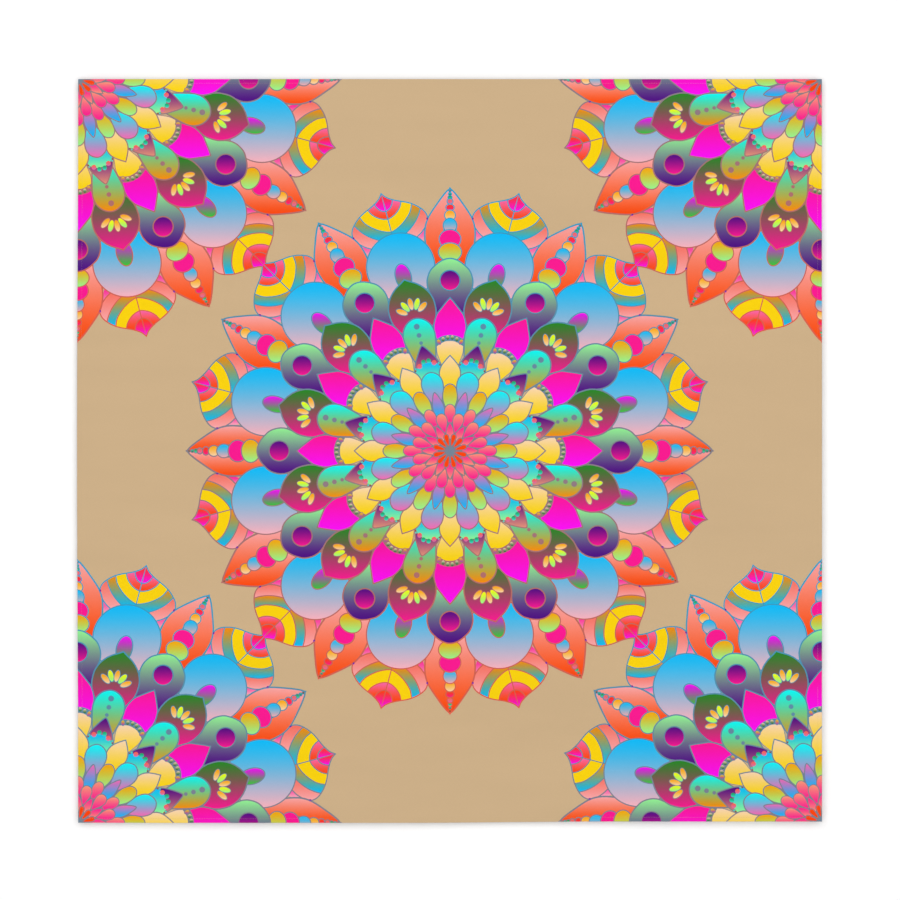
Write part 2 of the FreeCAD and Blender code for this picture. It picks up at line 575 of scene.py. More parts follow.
    def drops(self) -> list[Motif]:
        """The drop-shaped petals, each with a row of plain dots.

        Returns:
            The motifs, in printing order.
        """
        half = [(0, 257.6), (10, 255.3), (19, 249.5), (25.6, 241), (29.1, 232), (30.1, 222),
                (28.6, 210.8), (26, 199.5), (23, 188), (19, 175), (12, 163), (0, 157, CORNER)]
        drop = Motif("drop", Axis.BULB, petal(half, 4), Dye.AQUA, Dye.DARK_ORANGE, self.bold)
        dots = [Motif(f"drop_dot_{number}", Axis.BULB, oval((0, outwards), radius, radius, 20))
                for number, (outwards, radius) in enumerate(((242, 5.5), (225, 4.5), (210, 3.5)))]
        return [drop, *dots]

    def fans(self) -> list[Motif]:
        """The yellow fans, with a beaded rim.

        Returns:
            The motifs, in printing order.
        """
        side = [(26.2, 209.4, CORNER), (26.4, 199), (25.6, 188), (23.8, 180), (20.8, 173), (17, 163),
                (12, 150), (0, 145)]
        half = [(0, 206.9), (8, 206.2), (16, 202.8), (22, 198.6), (24.6, 197, CORNER), (24.3, 188),
                (22.5, 180.5), (19.6, 173.5), (15.8, 163.5), (11, 152), (0, 147)]
        rim = petal([(0, 218.2), (9.5, 217.2), (18, 214.4), *side])
        motifs = [Motif("fan_rim", Axis.SPEAR, rim),
                  Motif("fan", Axis.SPEAR, petal(half), Dye.PEACH, Dye.GOLD)]
        for number, (place, turn) in enumerate((((4.3, 213.4), 1.6), ((12.9, 210.2), 4.9)), 1):
            bead = oval(place, 3.3, 4.1, 14, turn)
            motifs += pair(f"rim_bead_{number}", Axis.SPEAR, bead, Dye.PEACH, Dye.PINE)
        end = oval((20.8, 205.2), 3.8, 5.3, 16, 30)
        return motifs + pair("rim_end", Axis.SPEAR, end, Dye.GOLD, Dye.ORCHID_PURPLE, line=1.3)

    def purple_petals(self) -> list[Motif]:
        """The small dark petals between the fans.

        Returns:
            The motifs, in printing order.
        """
        half = [(0, 204.6), (2.0, 203.4), (5.2, 199.8), (10, 193), (15, 185), (19.8, 177),
                (22.6, 169.8), (24.6, 162.5), (24, 152), (0, 146)]
        return [Motif("purple_petal", Axis.BULB, petal(half), Dye.INDIGO, Dye.DARK_SALMON, 2.2)]

    def bead_arcs(self) -> list[Motif]:
        """The arcs of beads under the dark petals, and the pool of blue below them.

        Returns:
            The motifs, in printing order.
        """
        pool = petal([(0, 171.5), (7, 171.2), (14, 168.5), (20, 164.8), (23.4, 160.5), (22.4, 152),
                      (18, 141), (0, 135)])
        green, coral = oval((5.0, 174.4), 4.2, 4.4, 18), oval((14.1, 168.2), 4.6, 4.7, 20)
        end, dot = oval((22.3, 165.2), 2.0, 2.2, 12), oval((23.4, 161.6), 1.5, 1.5, 10)
        return [
            Motif("pool", Axis.BULB, pool, Dye.SKY_BLUE, Dye.PALE_GREEN),
            *pair("green_bead", Axis.BULB, green, Dye.JADE, Dye.TURQUOISE),
            *pair("coral_bead", Axis.BULB, coral, Dye.TOMATO, Dye.MAUVE),
            *pair("end_bead", Axis.BULB, end, Dye.TURQUOISE, Dye.TURQUOISE, line=1.0),
            *pair("end_dot", Axis.BULB, dot, Dye.ORANGE_RED, Dye.PINE),
        ]

    def lemon_petals(self) -> list[Motif]:
        """The pointed yellow petals.

        Returns:
            The motifs, in printing order.
        """
        half = [(0, 179.8, CORNER), (5, 174.7), (10.2, 168.6), (15.2, 161.9), (18.7, 154.4),
                (20, 146.8), (19, 138), (15, 128), (11, 116), (0, 110)]
        return [Motif("inner_ink", Axis.SPEAR, oval((0, 0), 118, 118, 72)),
                Motif("lemon_petal", Axis.SPEAR, petal(half), Dye.PEACH, Dye.GOLD, 2.2)]

    def round_petals(self) -> list[Motif]:
        """The rounded petals of the inner rings: aqua, violet and olive.

        Returns:
            The motifs, in printing order.
        """
        aqua = [(0, 152.2), (7.8, 150), (15.2, 144.3), (19.2, 137), (20.4, 129), (19.6, 120.8),
                (17.4, 112.9), (14.2, 105.2), (10.9, 97.8), (7, 90), (0, 84)]
        violet = [(0, 113.6), (3.3, 109.8), (6.2, 102.8), (9.2, 94), (10.8, 84), (9, 72), (0, 62)]
        olive = [(0, 126.2), (6.2, 124), (10.9, 119.1), (13.1, 111.1), (13.9, 103.6), (13, 95),
                 (10.2, 86.4), (6.5, 78), (0, 72)]
        return [
            Motif("aqua_petal", Axis.BULB, petal(aqua), Dye.AQUA, Dye.HOT_PINK, 2.2),
            Motif("violet_petal", Axis.BULB, petal(violet), Dye.HOT_PINK, Dye.SKY_BLUE, self.fine),
            Motif("olive_petal", Axis.SPEAR, petal(olive), Dye.ORANGE, Dye.PALE_GREEN, 2.0),
        ]

    def coral_petals(self) -> list[Motif]:
        """The three innermost rings of petals.

        Returns:
            The motifs, in printing order.
        """
        outer = [(0, 88), (5.9, 85.6), (9.8, 79), (10.4, 72.8), (9.2, 66), (5.8, 58.5), (3.2, 52.5),
                 (0, 48, CORNER)]
        inner = [(0, 54, CORNER), (3.2, 48.5), (6.3, 41), (7.5, 33), (6, 26), (0, 22)]
        middle = [(0, 72), (5.6, 70.2), (9.4, 65.4), (10.3, 59.6), (9, 52.8), (6, 45), (3, 38.6),
                  (0, 33.6, CORNER)]
        salmon, pink = Dye.LIGHT_SALMON, Dye.DEEP_PINK
        return [
            Motif("outer_coral", Axis.SPEAR, petal(outer, 2.4), salmon, pink, self.hair),
            Motif("inner_coral", Axis.SPEAR, petal(inner, 2.4), pink, salmon, 1.6),
            Motif("middle_coral", Axis.BULB, petal(middle, 2.4), salmon, pink, self.hair),
        ]

    def heart(self) -> list[Motif]:
        """The rosette's middle, with its twelve ember petals.

        Returns:
            The motifs, in printing order.
        """
        half = [(0, 32.4), (3.2, 31.0), (4.8, 27.2), (4.3, 22), (3.2, 16.5), (1.8, 11.5), (0, 9)]
        ember = petal(half, 1.6)
        return [Motif("ember", Axis.BULB, ember, Dye.ORANGE_RED, Dye.ORANGE_RED, self.hair),
                Motif("heart", Axis.SPEAR, oval((0, 0), 8.4, 8.4), Dye.SLATE, Dye.SLATE)]


# ---------------------------------------------------------------------------------------------
# The print as faces
# ---------------------------------------------------------------------------------------------


@dataclass
class Patch:
    """A flat piece of printed cloth.

    Args:
        places: Each vertex's (across, up).
        faces: Three vertices for each face, anticlockwise.
        paint: For each face, the number of its dye in the sheet it was cut from.
    """

    places: np.ndarray
    faces: np.ndarray
    paint: np.ndarray

    def rim(self) -> np.ndarray:
        """The vertices round its outline, anticlockwise from the upper left corner.

        Returns:
            The rim's vertices.
        """
        edges = np.vstack([self.faces[:, [0, 1]], self.faces[:, [1, 2]], self.faces[:, [2, 0]]])
        width = int(edges.max()) + 1
        keys = edges[:, 0].astype(np.int64) * width + edges[:, 1]
        back = edges[:, 1].astype(np.int64) * width + edges[:, 0]
        lone = edges[~np.isin(keys, back)]
        after = {int(a): int(b) for a, b in lone}
        corner = lone[:, 0]
        start = int(corner[np.argmin(self.places[corner, 0] - self.places[corner, 1])])
        ring = [start]
        while after[ring[-1]] != start:
            ring.append(after[ring[-1]])
        return np.array(ring)


def inside(ring: np.ndarray, places: np.ndarray) -> np.ndarray:
    """Which places lie inside a closed outline.

    Args:
        ring: The outline.
        places: The places to test.

    Returns:
        True for each place that lies inside.
    """
    start, end = ring, np.roll(ring, -1, axis=0)
    x, y = places[:, 0, None], places[:, 1, None]
    crosses = (start[:, 1] > y) != (end[:, 1] > y)
    rise = np.where(end[:, 1] == start[:, 1], 1.0, end[:, 1] - start[:, 1])
    meets = start[:, 0] + (y - start[:, 1]) * (end[:, 0] - start[:, 0]) / rise
    return (crosses & (x < meets)).sum(1) % 2 == 1


def triangulated(places: np.ndarray, edges: np.ndarray) -> tuple[np.ndarray, np.ndarray]:
    """Fills the places' hull with triangles that keep to the edges.

    Args:
        places: The places to join.
        edges: Pairs of places that must be joined by a straight line.

    Returns:
        The places, with the crossings of edges added, and the triangles.
    """
    pairs = [(int(a), int(b)) for a, b in edges]
    found = delaunay_2d_cdt([tuple(p) for p in places.tolist()], pairs, [], 0, 1e-3)
    corners = np.array([[v.x, v.y] for v in found[0]])
    faces = np.array([f for f in found[2] if len(f) == 3])
    a, b, c = (corners[faces[:, k]] for k in range(3))
    turn = (b[:, 0] - a[:, 0]) * (c[:, 1] - a[:, 1]) - (b[:, 1] - a[:, 1]) * (c[:, 0] - a[:, 0])
    faces[turn < 0] = faces[turn < 0][:, ::-1]
    return corners, faces[np.abs(turn) > 1e-7]


def joined(places: np.ndarray, faces: np.ndarray) -> tuple[np.ndarray, np.ndarray, np.ndarray]:
    """Merges places that coincide, and drops the faces that this leaves with no width.

    Args:
        places: The places.
        faces: The triangles that join them.

    Returns:
        The merged places, the faces that are left, and which of the old faces those are.
    """
    _, first, number = np.unique(places.round(2), axis=0, return_index=True, return_inverse=True)
    places, faces = places[first], number.reshape(-1)[faces]
    a, b, c = (places[faces[:, k]] for k in range(3))
    area = (b[:, 0] - a[:, 0]) * (c[:, 1] - a[:, 1]) - (b[:, 1] - a[:, 1]) * (c[:, 0] - a[:, 0])
    kept = np.abs(area) > 1e-9
    return places, faces[kept], kept


GROUND, LINE = 0, 1  # the first two paints of every tile


@dataclass
class PrintTile:
    """The smallest part of the print, from which mirrors and quarter turns make all of it.

    It is the triangle between a rosette's middle, the middle of the cloth's side straight above
    it, and the place halfway to the next rosette's middle.

    Args:
        motifs: The rosette's motifs, in printing order.
        half: Half the cloth's width, which is the triangle's longest upright side.
        drawn: Whether motifs have their drawn outlines.
        slack: How far a thinned outline may lie from the true one.
        smallest: Motifs with a smaller area are left out.
        spacing: How far apart the vertices are in a large plain area.
    """

    motifs: list[Motif]
    half: float
    drawn: bool = True
    slack: float = 0.16
    smallest: float = 0.0
    spacing: float = 28.0
    paints: list[tuple[Optional[Motif], float]] = field(default_factory=list)
    patch: Optional[Patch] = None

    def outside(self, places: np.ndarray, margin: float = 0.0) -> np.ndarray:
        """For each place, whether it is beyond each of the triangle's three sides."""
        x, z = places[:, 0], places[:, 1]
        return np.stack([x < -margin, z - x < -margin, x + z > self.half + margin], 1)

    def rings(self) -> list[tuple[np.ndarray, int]]:
        """Every outline that reaches into the tile, in printing order, with its paint.

        Returns:
            Each outline and the number of its paint.
        """
        self.paints = [(None, 0.0), (None, 0.0)]
        found = []
        for motif in self.motifs:
            shape = np.array(motif.outline)
            if abs(ring_area(shape)) < self.smallest:
                continue
            for sector in (-1, 0, 1, 2):
                angle = motif.axis.value + SECTOR * sector
                stroke = motif.line / 2 if self.drawn else 0.0
                outer = turned(thinned(grown(shape, stroke), self.slack), angle)
                if self.outside(outer).all(0).any():
                    continue
                paint = LINE
                if motif.top is not None:
                    paint = len(self.paints)
                    self.paints.append((motif, angle))
                if stroke:
                    found.append((outer, LINE))
                    inner = turned(thinned(grown(shape, -stroke), self.slack), angle)
                    found.append((inner, paint))
                elif self.drawn or paint != LINE:
                    found.append((outer, paint))
        return found

    def paint_at(self, rings: list[tuple[np.ndarray, int]], places: np.ndarray) -> np.ndarray:
        """The paint printed last at each place.

        Args:
            rings: The outlines, with their paints.
            places: The places.

        Returns:
            Each place's paint.
        """
        paint = np.full(len(places), GROUND)
        for ring, number in rings:
            low, high = ring.min(0), ring.max(0)
            near = np.flatnonzero(((places >= low) & (places <= high)).all(1))
            paint[near[inside(ring, places[near])]] = number
        return paint

    def corners(self) -> np.ndarray:
        """The triangle's three corners."""
        return np.array([[0.0, 0.0], [self.half / 2, self.half / 2], [0.0, self.half]])

    def inner_faces(self, places: np.ndarray, faces: np.ndarray) -> tuple[np.ndarray, np.ndarray]:
        """The faces that lie in the tile, and their middles.

        Args:
            places: The vertices.
            faces: The faces.

        Returns:
            The faces kept, and their middles.
        """
        middles = places[faces].mean(1)
        keep = ~self.outside(middles).any(1)
        return faces[keep], middles[keep]

    def seen_edges(self, faces: np.ndarray, paint: np.ndarray) -> np.ndarray:
        """The edges between two paints, and those round the tile.

        Args:
            faces: The faces.
            paint: Each face's paint.

        Returns:
            The edges, as pairs of vertices.
        """
        edges = np.vstack([faces[:, [0, 1]], faces[:, [1, 2]], faces[:, [2, 0]]])
        edges.sort(axis=1)
        paints = np.tile(paint, 3)
        order = np.lexsort((edges[:, 1], edges[:, 0]))
        edges, paints = edges[order], paints[order]
        same = np.append((edges[1:] == edges[:-1]).all(1), False)
        first = ~np.insert(same[:-1], 0, False)
        plain = np.append(paints[1:] == paints[:-1], False) & same
        return edges[first & ~plain]

    def filling(self, taken: np.ndarray) -> np.ndarray:
        """Evenly spaced places inside the tile and along its sides, clear of the taken ones.

        Args:
            taken: The places in use.

        Returns:
            The new places.
        """
        rows = np.arange(0, self.half, self.spacing)
        grid = np.array([(x + self.spacing / 2 * (k % 2), z) for k, z in enumerate(rows) for x in rows])
        grid = grid[~self.outside(grid, -self.spacing / 3).any(1)]
        sides = [grid]
        corners = self.corners()
        for start, end in zip(corners, np.roll(corners, -1, axis=0)):
            count = round(math.dist(start, end) / self.spacing)
            sides.append(start + (end - start) * (np.arange(1, count) / count)[:, None])
        places = np.vstack(sides)
        gaps = ((places[:, None] - taken[None]) ** 2).sum(2).min(1)
        return places[gaps > (self.spacing / 5) ** 2]

    def build(self) -> "PrintTile":
        """Cuts the tile into faces of one paint each.

        Returns:
            The tile itself, with its faces made.
        """
        rings = self.rings()
        places, edges = [self.corners()], [np.array([(0, 1), (1, 2), (2, 0)])]
        total = 3
        for ring, _ in rings:
            count = len(ring)
            sides = np.stack([np.arange(count), (np.arange(count) + 1) % count], 1)
            beyond = self.outside(ring)
            keep = ~(beyond[sides[:, 0]] & beyond[sides[:, 1]]).any(1)
            places.append(ring)
            edges.append(sides[keep] + total)
            total += count
        corners, faces = triangulated(np.vstack(places), np.vstack(edges))
        faces, middles = self.inner_faces(corners, faces)
        kept = self.seen_edges(faces, self.paint_at(rings, middles))
        used, kept = np.unique(kept, return_inverse=True)
        seen = corners[used]
        corners, faces = triangulated(np.vstack([seen, self.filling(seen)]), kept.reshape(-1, 2))
        faces, middles = self.inner_faces(corners, faces)
        places, faces, kept = joined(self.squared_up(corners), faces)
        self.patch = Patch(places, faces, self.paint_at(rings, middles[kept]))
        return self

    def squared_up(self, places: np.ndarray) -> np.ndarray:
        """The places, with those beside one of the tile's sides put exactly on it.

        Args:
            places: The places.

        Returns:
            The places, moved where they need to be.
        """
        places = places.copy()
        near = 0.01
        x, z = places[:, 0], places[:, 1]
        x[np.abs(x) < near] = 0.0
        diagonal = np.abs(z - x) < near
        x[diagonal] = z[diagonal] = (x[diagonal] + z[diagonal]) / 2
        over = x + z - self.half
        facing = (np.abs(over) < near) & (x > near)
        x[facing] -= over[facing] / 2
        z[facing] -= over[facing] / 2
        z[(x == 0.0) & (np.abs(over) < near)] = self.half
        return places


@dataclass
class PrintSheet:
    """The whole print, with a margin that the hems are folded from.

    Args:
        tile: The tile that it repeats.
        half: Half the cloth's width.
        ink: The ink of the drawn outlines.
        margin: How far the print runs on past the cloth's edges.
    """

    tile: PrintTile
    half: float
    ink: LineInk = LineInk()
    margin: float = 24.0

    def __post_init__(self) -> None:
        """Lays out every copy of the tile, with the heights between which each dye runs."""
        patch = self.tile.patch
        places, faces, paint, dyes, middles = [], [], [], [], []
        low = np.array([-self.half - self.margin, -2 * self.half - self.margin])
        high = np.array([self.half + self.margin, self.margin])
        for middle, way in self.copies():
            moved = patch.places @ way.T + middle
            if (moved.max(0) < low).any() or (moved.min(0) > high).any():
                continue
            copy, flipped = len(places), np.linalg.det(way) < 0
            places.append(moved)
            faces.append((patch.faces[:, ::-1] if flipped else patch.faces) + copy * len(patch.places))
            paint.append(patch.paint + copy * len(self.tile.paints))
            middles += [middle[1]] * len(self.tile.paints)
            for motif, angle in self.tile.paints:
                dyes.append(self.run_of(motif, angle, way, middle))
        self.places, self.faces = np.vstack(places), np.vstack(faces)
        self.paint, self.middles = np.concatenate(paint), np.array(middles)
        self.dyes = np.array(dyes)

    def copies(self) -> Iterator[tuple[np.ndarray, np.ndarray]]:
        """Each copy of the tile: its rosette's middle, and how it is turned or mirrored.

        Returns:
            Each copy's middle and its matrix, one at a time.
        """
        side = self.half
        within = [(0, -side), (-side, 0), (side, 0), (-side, -2 * side), (side, -2 * side)]
        beyond = [(-2 * side, -side), (2 * side, -side), (0, side), (0, -3 * side)]
        for middle in within + beyond:
            for quarter in range(4):
                cos, sin = round(math.cos(quarter * math.pi / 2)), round(math.sin(quarter * math.pi / 2))
                turn = np.array([[cos, sin], [-sin, cos]], float)
                for mirror in (1, -1):
                    yield np.array(middle, float), turn @ np.diag([mirror, 1.0])

    def run_of(self, motif: Optional[Motif], angle: float, way: np.ndarray, middle: np.ndarray) -> list:
        """How one dyed area runs from its top dye to its foot dye.

        Args:
            motif: The motif, or None for the ground and for line ink.
            angle: The motif's angle in the tile.
            way: How the tile's copy is turned or mirrored.
            middle: The middle of the copy's rosette.

        Returns:
            The heights of its top and foot, then the top dye and the foot dye.
        """
        if motif is None:
            return [1.0, 0.0, *Dye.TAN.coded, *Dye.TAN.coded]
        heights = (turned(np.array(motif.outline), angle) @ way.T + middle)[:, 1]
        return [heights.max(), heights.min(), *motif.top.coded, *motif.foot.coded]

    def dye_at(self, places: np.ndarray, paint: np.ndarray) -> np.ndarray:
        """The dye at each place of a face with a given paint, as three numbers from 0 to 1.

        Args:
            places: The places.
            paint: Each place's paint.

        Returns:
            The dye at each place.
        """
        top, foot = self.dyes[paint, 0], self.dyes[paint, 1]
        share = np.clip((top - places[:, 1]) / np.maximum(top - foot, 1e-6), 0, 1)[:, None]
        dye = self.dyes[paint, 2:5] * (1 - share) + self.dyes[paint, 5:8] * share
        lines = paint % len(self.tile.paints) == LINE
        dye[lines] = self.ink.coded(places[lines, 1] - self.middles[paint[lines]])
        return dye

    def cut(self, low: Point, high: Point, upright: list[float], level: list[float]) -> Patch:
        """Cuts a rectangle out of the print.

        Args:
            low: The rectangle's lower left corner.
            high: Its upper right corner.
            upright: Places across, at each of which a cut runs straight down through the faces.
            level: Heights, at each of which a cut runs straight across.

        Returns:
            The rectangle.
        """
        corners = self.places[self.faces]
        near = (corners.max(1) > np.array(low)).all(1) & (corners.min(1) < np.array(high)).all(1)
        used, faces = np.unique(self.faces[near], return_inverse=True)
        x, z = self.places[used].T
        mesh = bpy.data.meshes.new("cut")
        mesh.from_pydata(np.stack([x, np.zeros_like(x), z], 1).tolist(), [], faces.reshape(-1, 3).tolist())
        mesh.attributes.new("paint", "INT", "FACE").data.foreach_set("value", self.paint[near])
        shape = bmesh.new()
        shape.from_mesh(mesh)
        bmesh.ops.remove_doubles(shape, verts=shape.verts[:], dist=0.004)
        walls = [((low[0], 0, 0), (-1, 0, 0)), ((high[0], 0, 0), (1, 0, 0)),
                 ((0, 0, low[1]), (0, 0, -1)), ((0, 0, high[1]), (0, 0, 1))]
        lines = [((at, 0, 0), (1, 0, 0)) for at in upright] + [((0, 0, at), (0, 0, 1)) for at in level]
        for number, (place, normal) in enumerate(walls + lines):
            bmesh.ops.bisect_plane(shape, geom=shape.verts[:] + shape.edges[:] + shape.faces[:], dist=1e-4,
                                   plane_co=place, plane_no=normal, clear_outer=number < len(walls))
        bmesh.ops.triangulate(shape, faces=[f for f in shape.faces if len(f.verts) > 3])
        shape.to_mesh(mesh)
        shape.free()
        return patch_of(mesh)


def patch_of(mesh: bpy.types.Mesh) -> Patch:
    """The flat patch that a mesh in the wall's plane holds. The mesh is removed.

    Args:
        mesh: The mesh.

    Returns:
        The patch.
    """
    places = np.empty(len(mesh.vertices) * 3)
    mesh.vertices.foreach_get("co", places)
    faces = np.empty(len(mesh.loops), np.int32)
    mesh.loops.foreach_get("vertex_index", faces)
    paint = np.empty(len(mesh.polygons), np.int32)
    mesh.attributes["paint"].data.foreach_get("value", paint)
    bpy.data.meshes.remove(mesh)
    return Patch(places.reshape(-1, 3)[:, [0, 2]], faces.reshape(-1, 3), paint)


# ---------------------------------------------------------------------------------------------
# How the cloth hangs
# ---------------------------------------------------------------------------------------------


@dataclass(frozen=True)
class Ripple:
    """One soft wave in the hanging cloth.

    Args:
        height: How far it stands out.
        length: The distance from crest to crest.
        slant: How far it leans: 0 is level, and large values are upright folds.
        start: Where it starts, as an angle in radians.
    """

    height: float
    length: float
    slant: float
    start: float

    def at(self, x: np.ndarray, z: np.ndarray) -> np.ndarray:
        """How far the wave stands out at each place."""
        lean = math.hypot(1.0, self.slant)
        return self.height * np.sin(2 * math.pi * (z + self.slant * x) / (self.length * lean) + self.start)


@dataclass(frozen=True)
class Drape:
    """How the flat cloth lies when it hangs by its top edge, a little clear of the wall.

    Args:
        half: Half the cloth's width.
        length: Its length from the top edge to the foot.
    """

    half: float
    length: float
    folds: tuple[Ripple, ...] = (Ripple(1.9, 905.0, 40.0, 0.9), Ripple(0.9, 430.0, -14.0, -1.2))
    creases: tuple[Ripple, ...] = (
        Ripple(0.62, 118.0, 0.11, 0.3), Ripple(0.16, 73.0, -0.07, 2.1), Ripple(0.05, 44.0, 0.15, 4.0),
    )
    stand_off: float = 2.2
    left_bulge: float = 2.2
    foot_rise: float = 2.6

    def depth(self, x: np.ndarray, z: np.ndarray) -> np.ndarray:
        """How far the cloth stands back (positive) or out (negative) at each place.

        Args:
            x: The places across the cloth.
            z: Their heights.

        Returns:
            The depth at each place.
        """
        fall = np.clip(-z / self.length, 0.0, 1.0)
        loose = np.clip(fall / 0.45, 0.0, 1.0)
        loose = 0.12 + 0.88 * loose * loose * (3 - 2 * loose)
        folds = sum(fold.at(x, z) for fold in self.folds) * loose
        patchy = 0.55 + 0.45 * np.sin(2 * math.pi * (x / 1900 + 0.9 * fall) + 0.6)
        creases = sum(crease.at(x, z) for crease in self.creases) * patchy
        return folds + creases * np.minimum(1.0, 0.35 + 2.0 * fall) - self.stand_off * loose

    def slopes(self, x: np.ndarray, z: np.ndarray) -> tuple[np.ndarray, np.ndarray]:
        """How fast the depth grows across and upwards at each place.

        Args:
            x: The places across the cloth.
            z: Their heights.

        Returns:
            The slope across and the slope upwards.
        """
        step = 0.5
        across = (self.depth(x + step, z) - self.depth(x - step, z)) / (2 * step)
        upwards = (self.depth(x, z + step) - self.depth(x, z - step)) / (2 * step)
        return across, upwards

    def lay(self, points: np.ndarray) -> np.ndarray:
        """Where points of the flat cloth go when it hangs, in metres.

        Args:
            points: Places as (across, depth, up) of the cloth when flat.

        Returns:
            The same points in the frame.
        """
        x, y, z = points.T
        fall = np.clip(-z / self.length, 0.0, 1.0)
        left = np.clip(-x / self.half, 0.0, 1.0)
        right = np.clip((x / self.half + 0.1) / 0.6, 0.0, 1.0)
        drift = -self.left_bulge * left**2 * np.sin(math.pi * fall) ** 2
        rise = self.foot_rise * fall**3 * right * right * (3 - 2 * right)
        return np.stack([x + drift, y + self.depth(x, z), z + rise], 1) * METRES

    def lean(self, points: np.ndarray, normals: np.ndarray) -> np.ndarray:
        """The normals of the flat cloth, turned as the hanging cloth turns them.

        Args:
            points: Where the normals stand.
            normals: The flat normals.

        Returns:
            The turned normals, of length 1.
        """
        across, upwards = self.slopes(points[:, 0], points[:, 2])
        leaning = normals.copy()
        leaning[:, 0] -= across * normals[:, 1]
        leaning[:, 2] -= upwards * normals[:, 1]
        return leaning / np.linalg.norm(leaning, axis=1)[:, None]


Place = Callable[[np.ndarray], tuple[np.ndarray, np.ndarray]]


@dataclass
class ClothShell:
    """A closed sheet of cloth with its printed side, its reverse and its cut edges.

    Args:
        name: The piece's name.
        outer: The printed side's patch.
        inner: The reverse's patch, with the same outline.
        outer_at: Gives the flat cloth's points and normals for the printed side's places.
        inner_at: The same for the reverse.
        outer_share: How much of the piece's own pattern map the printed side takes.
    """

    name: str
    outer: Patch
    inner: Patch
    outer_at: Place
    inner_at: Place
    outer_share: float = 0.74

    def edge_faces(self) -> np.ndarray:
        """The faces between the two sides, all round.

        Returns:
            The faces.
        """
        first, second = self.outer.rim(), self.inner.rim()
        shift = len(self.outer.places)
        ways = []
        for patch, ring in ((self.outer, first), (self.inner, second)):
            steps = np.linalg.norm(np.diff(patch.places[np.append(ring, ring[0])], axis=0), axis=1)
            ways.append(np.append(0.0, np.cumsum(steps) / steps.sum()))
        first, second = np.append(first, first[0]), np.append(second, second[0]) + shift
        faces, i, j = [], 0, 0
        while i < len(first) - 1 or j < len(second) - 1:
            ahead = ways[0][i + 1] if i < len(first) - 1 else math.inf
            behind = ways[1][j + 1] if j < len(second) - 1 else math.inf
            if ahead <= behind:
                faces.append((first[i + 1], first[i], second[j]))
                i += 1
            else:
                faces.append((second[j], second[j + 1], first[i]))
                j += 1
        return np.array(faces)

    def build(self, sheet: PrintSheet, reverse: PrintSheet, drape: Drape) -> bpy.types.Object:
        """Makes the piece.

        Args:
            sheet: The print that the printed side was cut from.
            reverse: The plainer print that the reverse was cut from.
            drape: How the cloth hangs.

        Returns:
            The piece, with its dyes, pattern maps and normals, and no material yet.
        """
        outer, outward = self.outer_at(self.outer.places)
        inner, inward = self.inner_at(self.inner.places)
        points, normals = np.vstack([outer, inner]), np.vstack([outward, inward])
        edges = self.edge_faces()
        back = self.inner.faces[:, ::-1] + len(outer)
        faces = np.vstack([self.outer.faces, back, edges])
        mesh = bpy.data.meshes.new(self.name)
        mesh.from_pydata(drape.lay(points).tolist(), [], faces.tolist())
        corners = faces.ravel()
        front_corners, back_corners = self.outer.faces.size, back.size
        flat = np.vstack([self.outer.places, self.inner.places])[corners]
        dyes = np.empty((len(corners), 4))
        dyes[:, 3] = 1.0
        paint = np.repeat(self.outer.paint, 3)
        dyes[:front_corners, :3] = sheet.dye_at(flat[:front_corners], paint)
        behind = slice(front_corners, front_corners + back_corners)
        dyes[behind, :3] = reverse.dye_at(flat[behind], np.repeat(self.inner.paint, 3))
        dyes[behind.stop:, :3] = Dye.TAN.coded
        layer = mesh.color_attributes.new("dye", "FLOAT_COLOR", "CORNER")
        layer.data.foreach_set("color", dyes.astype(np.float32).ravel())
        self.map_pattern(mesh, flat, behind)
        slots = np.zeros(len(faces), np.int32)
        slots[len(self.outer.faces) : len(self.outer.faces) + len(back)] = 1
        mesh.polygons.foreach_set("material_index", slots)
        leaning = drape.lean(points, normals)[corners]
        leaning[behind.stop:] = 0.0
        smooth = np.ones(len(faces), bool)
        smooth[len(faces) - len(edges) :] = False
        mesh.polygons.foreach_set("use_smooth", smooth)
        mesh.update()
        mesh.normals_split_custom_set(leaning.tolist())
        return placed(self.name, mesh)

    def map_pattern(self, mesh: bpy.types.Mesh, flat: np.ndarray, behind: slice) -> None:
        """Gives the mesh its weave's places and a map that holds both sides.

        Args:
            mesh: The piece's mesh.
            flat: Each corner's place in the flat cloth.
            behind: The corners of the reverse.
        """
        weave = mesh.uv_layers.new(name="Weave", do_init=False)
        weave.uv.foreach_set("vector", (flat * METRES).astype(np.float32).ravel())
        share = (flat - flat.min(0)) / np.ptp(flat, axis=0)
        gap = 0.004
        low, high = gap, self.outer_share - gap
        spread = np.stack([low + share[:, 0] * (high - low), gap + share[:, 1] * (1 - 2 * gap)], 1)
        low, high = self.outer_share + gap, 1 - gap
        spread[behind, 0] = low + share[behind, 0] * (high - low)
        layer = mesh.uv_layers.new(name="OFBake", do_init=False)
        layer.uv.foreach_set("vector", spread.astype(np.float32).ravel())


def placed(name: str, mesh: bpy.types.Mesh) -> bpy.types.Object:
    """Puts a mesh into the scene as a piece at the frame's origin.

    Args:
        name: The piece's name.
        mesh: Its mesh.

    Returns:
        The piece.
    """
    piece = bpy.data.objects.new(name, mesh)
    bpy.context.scene.collection.objects.link(piece)
    return piece


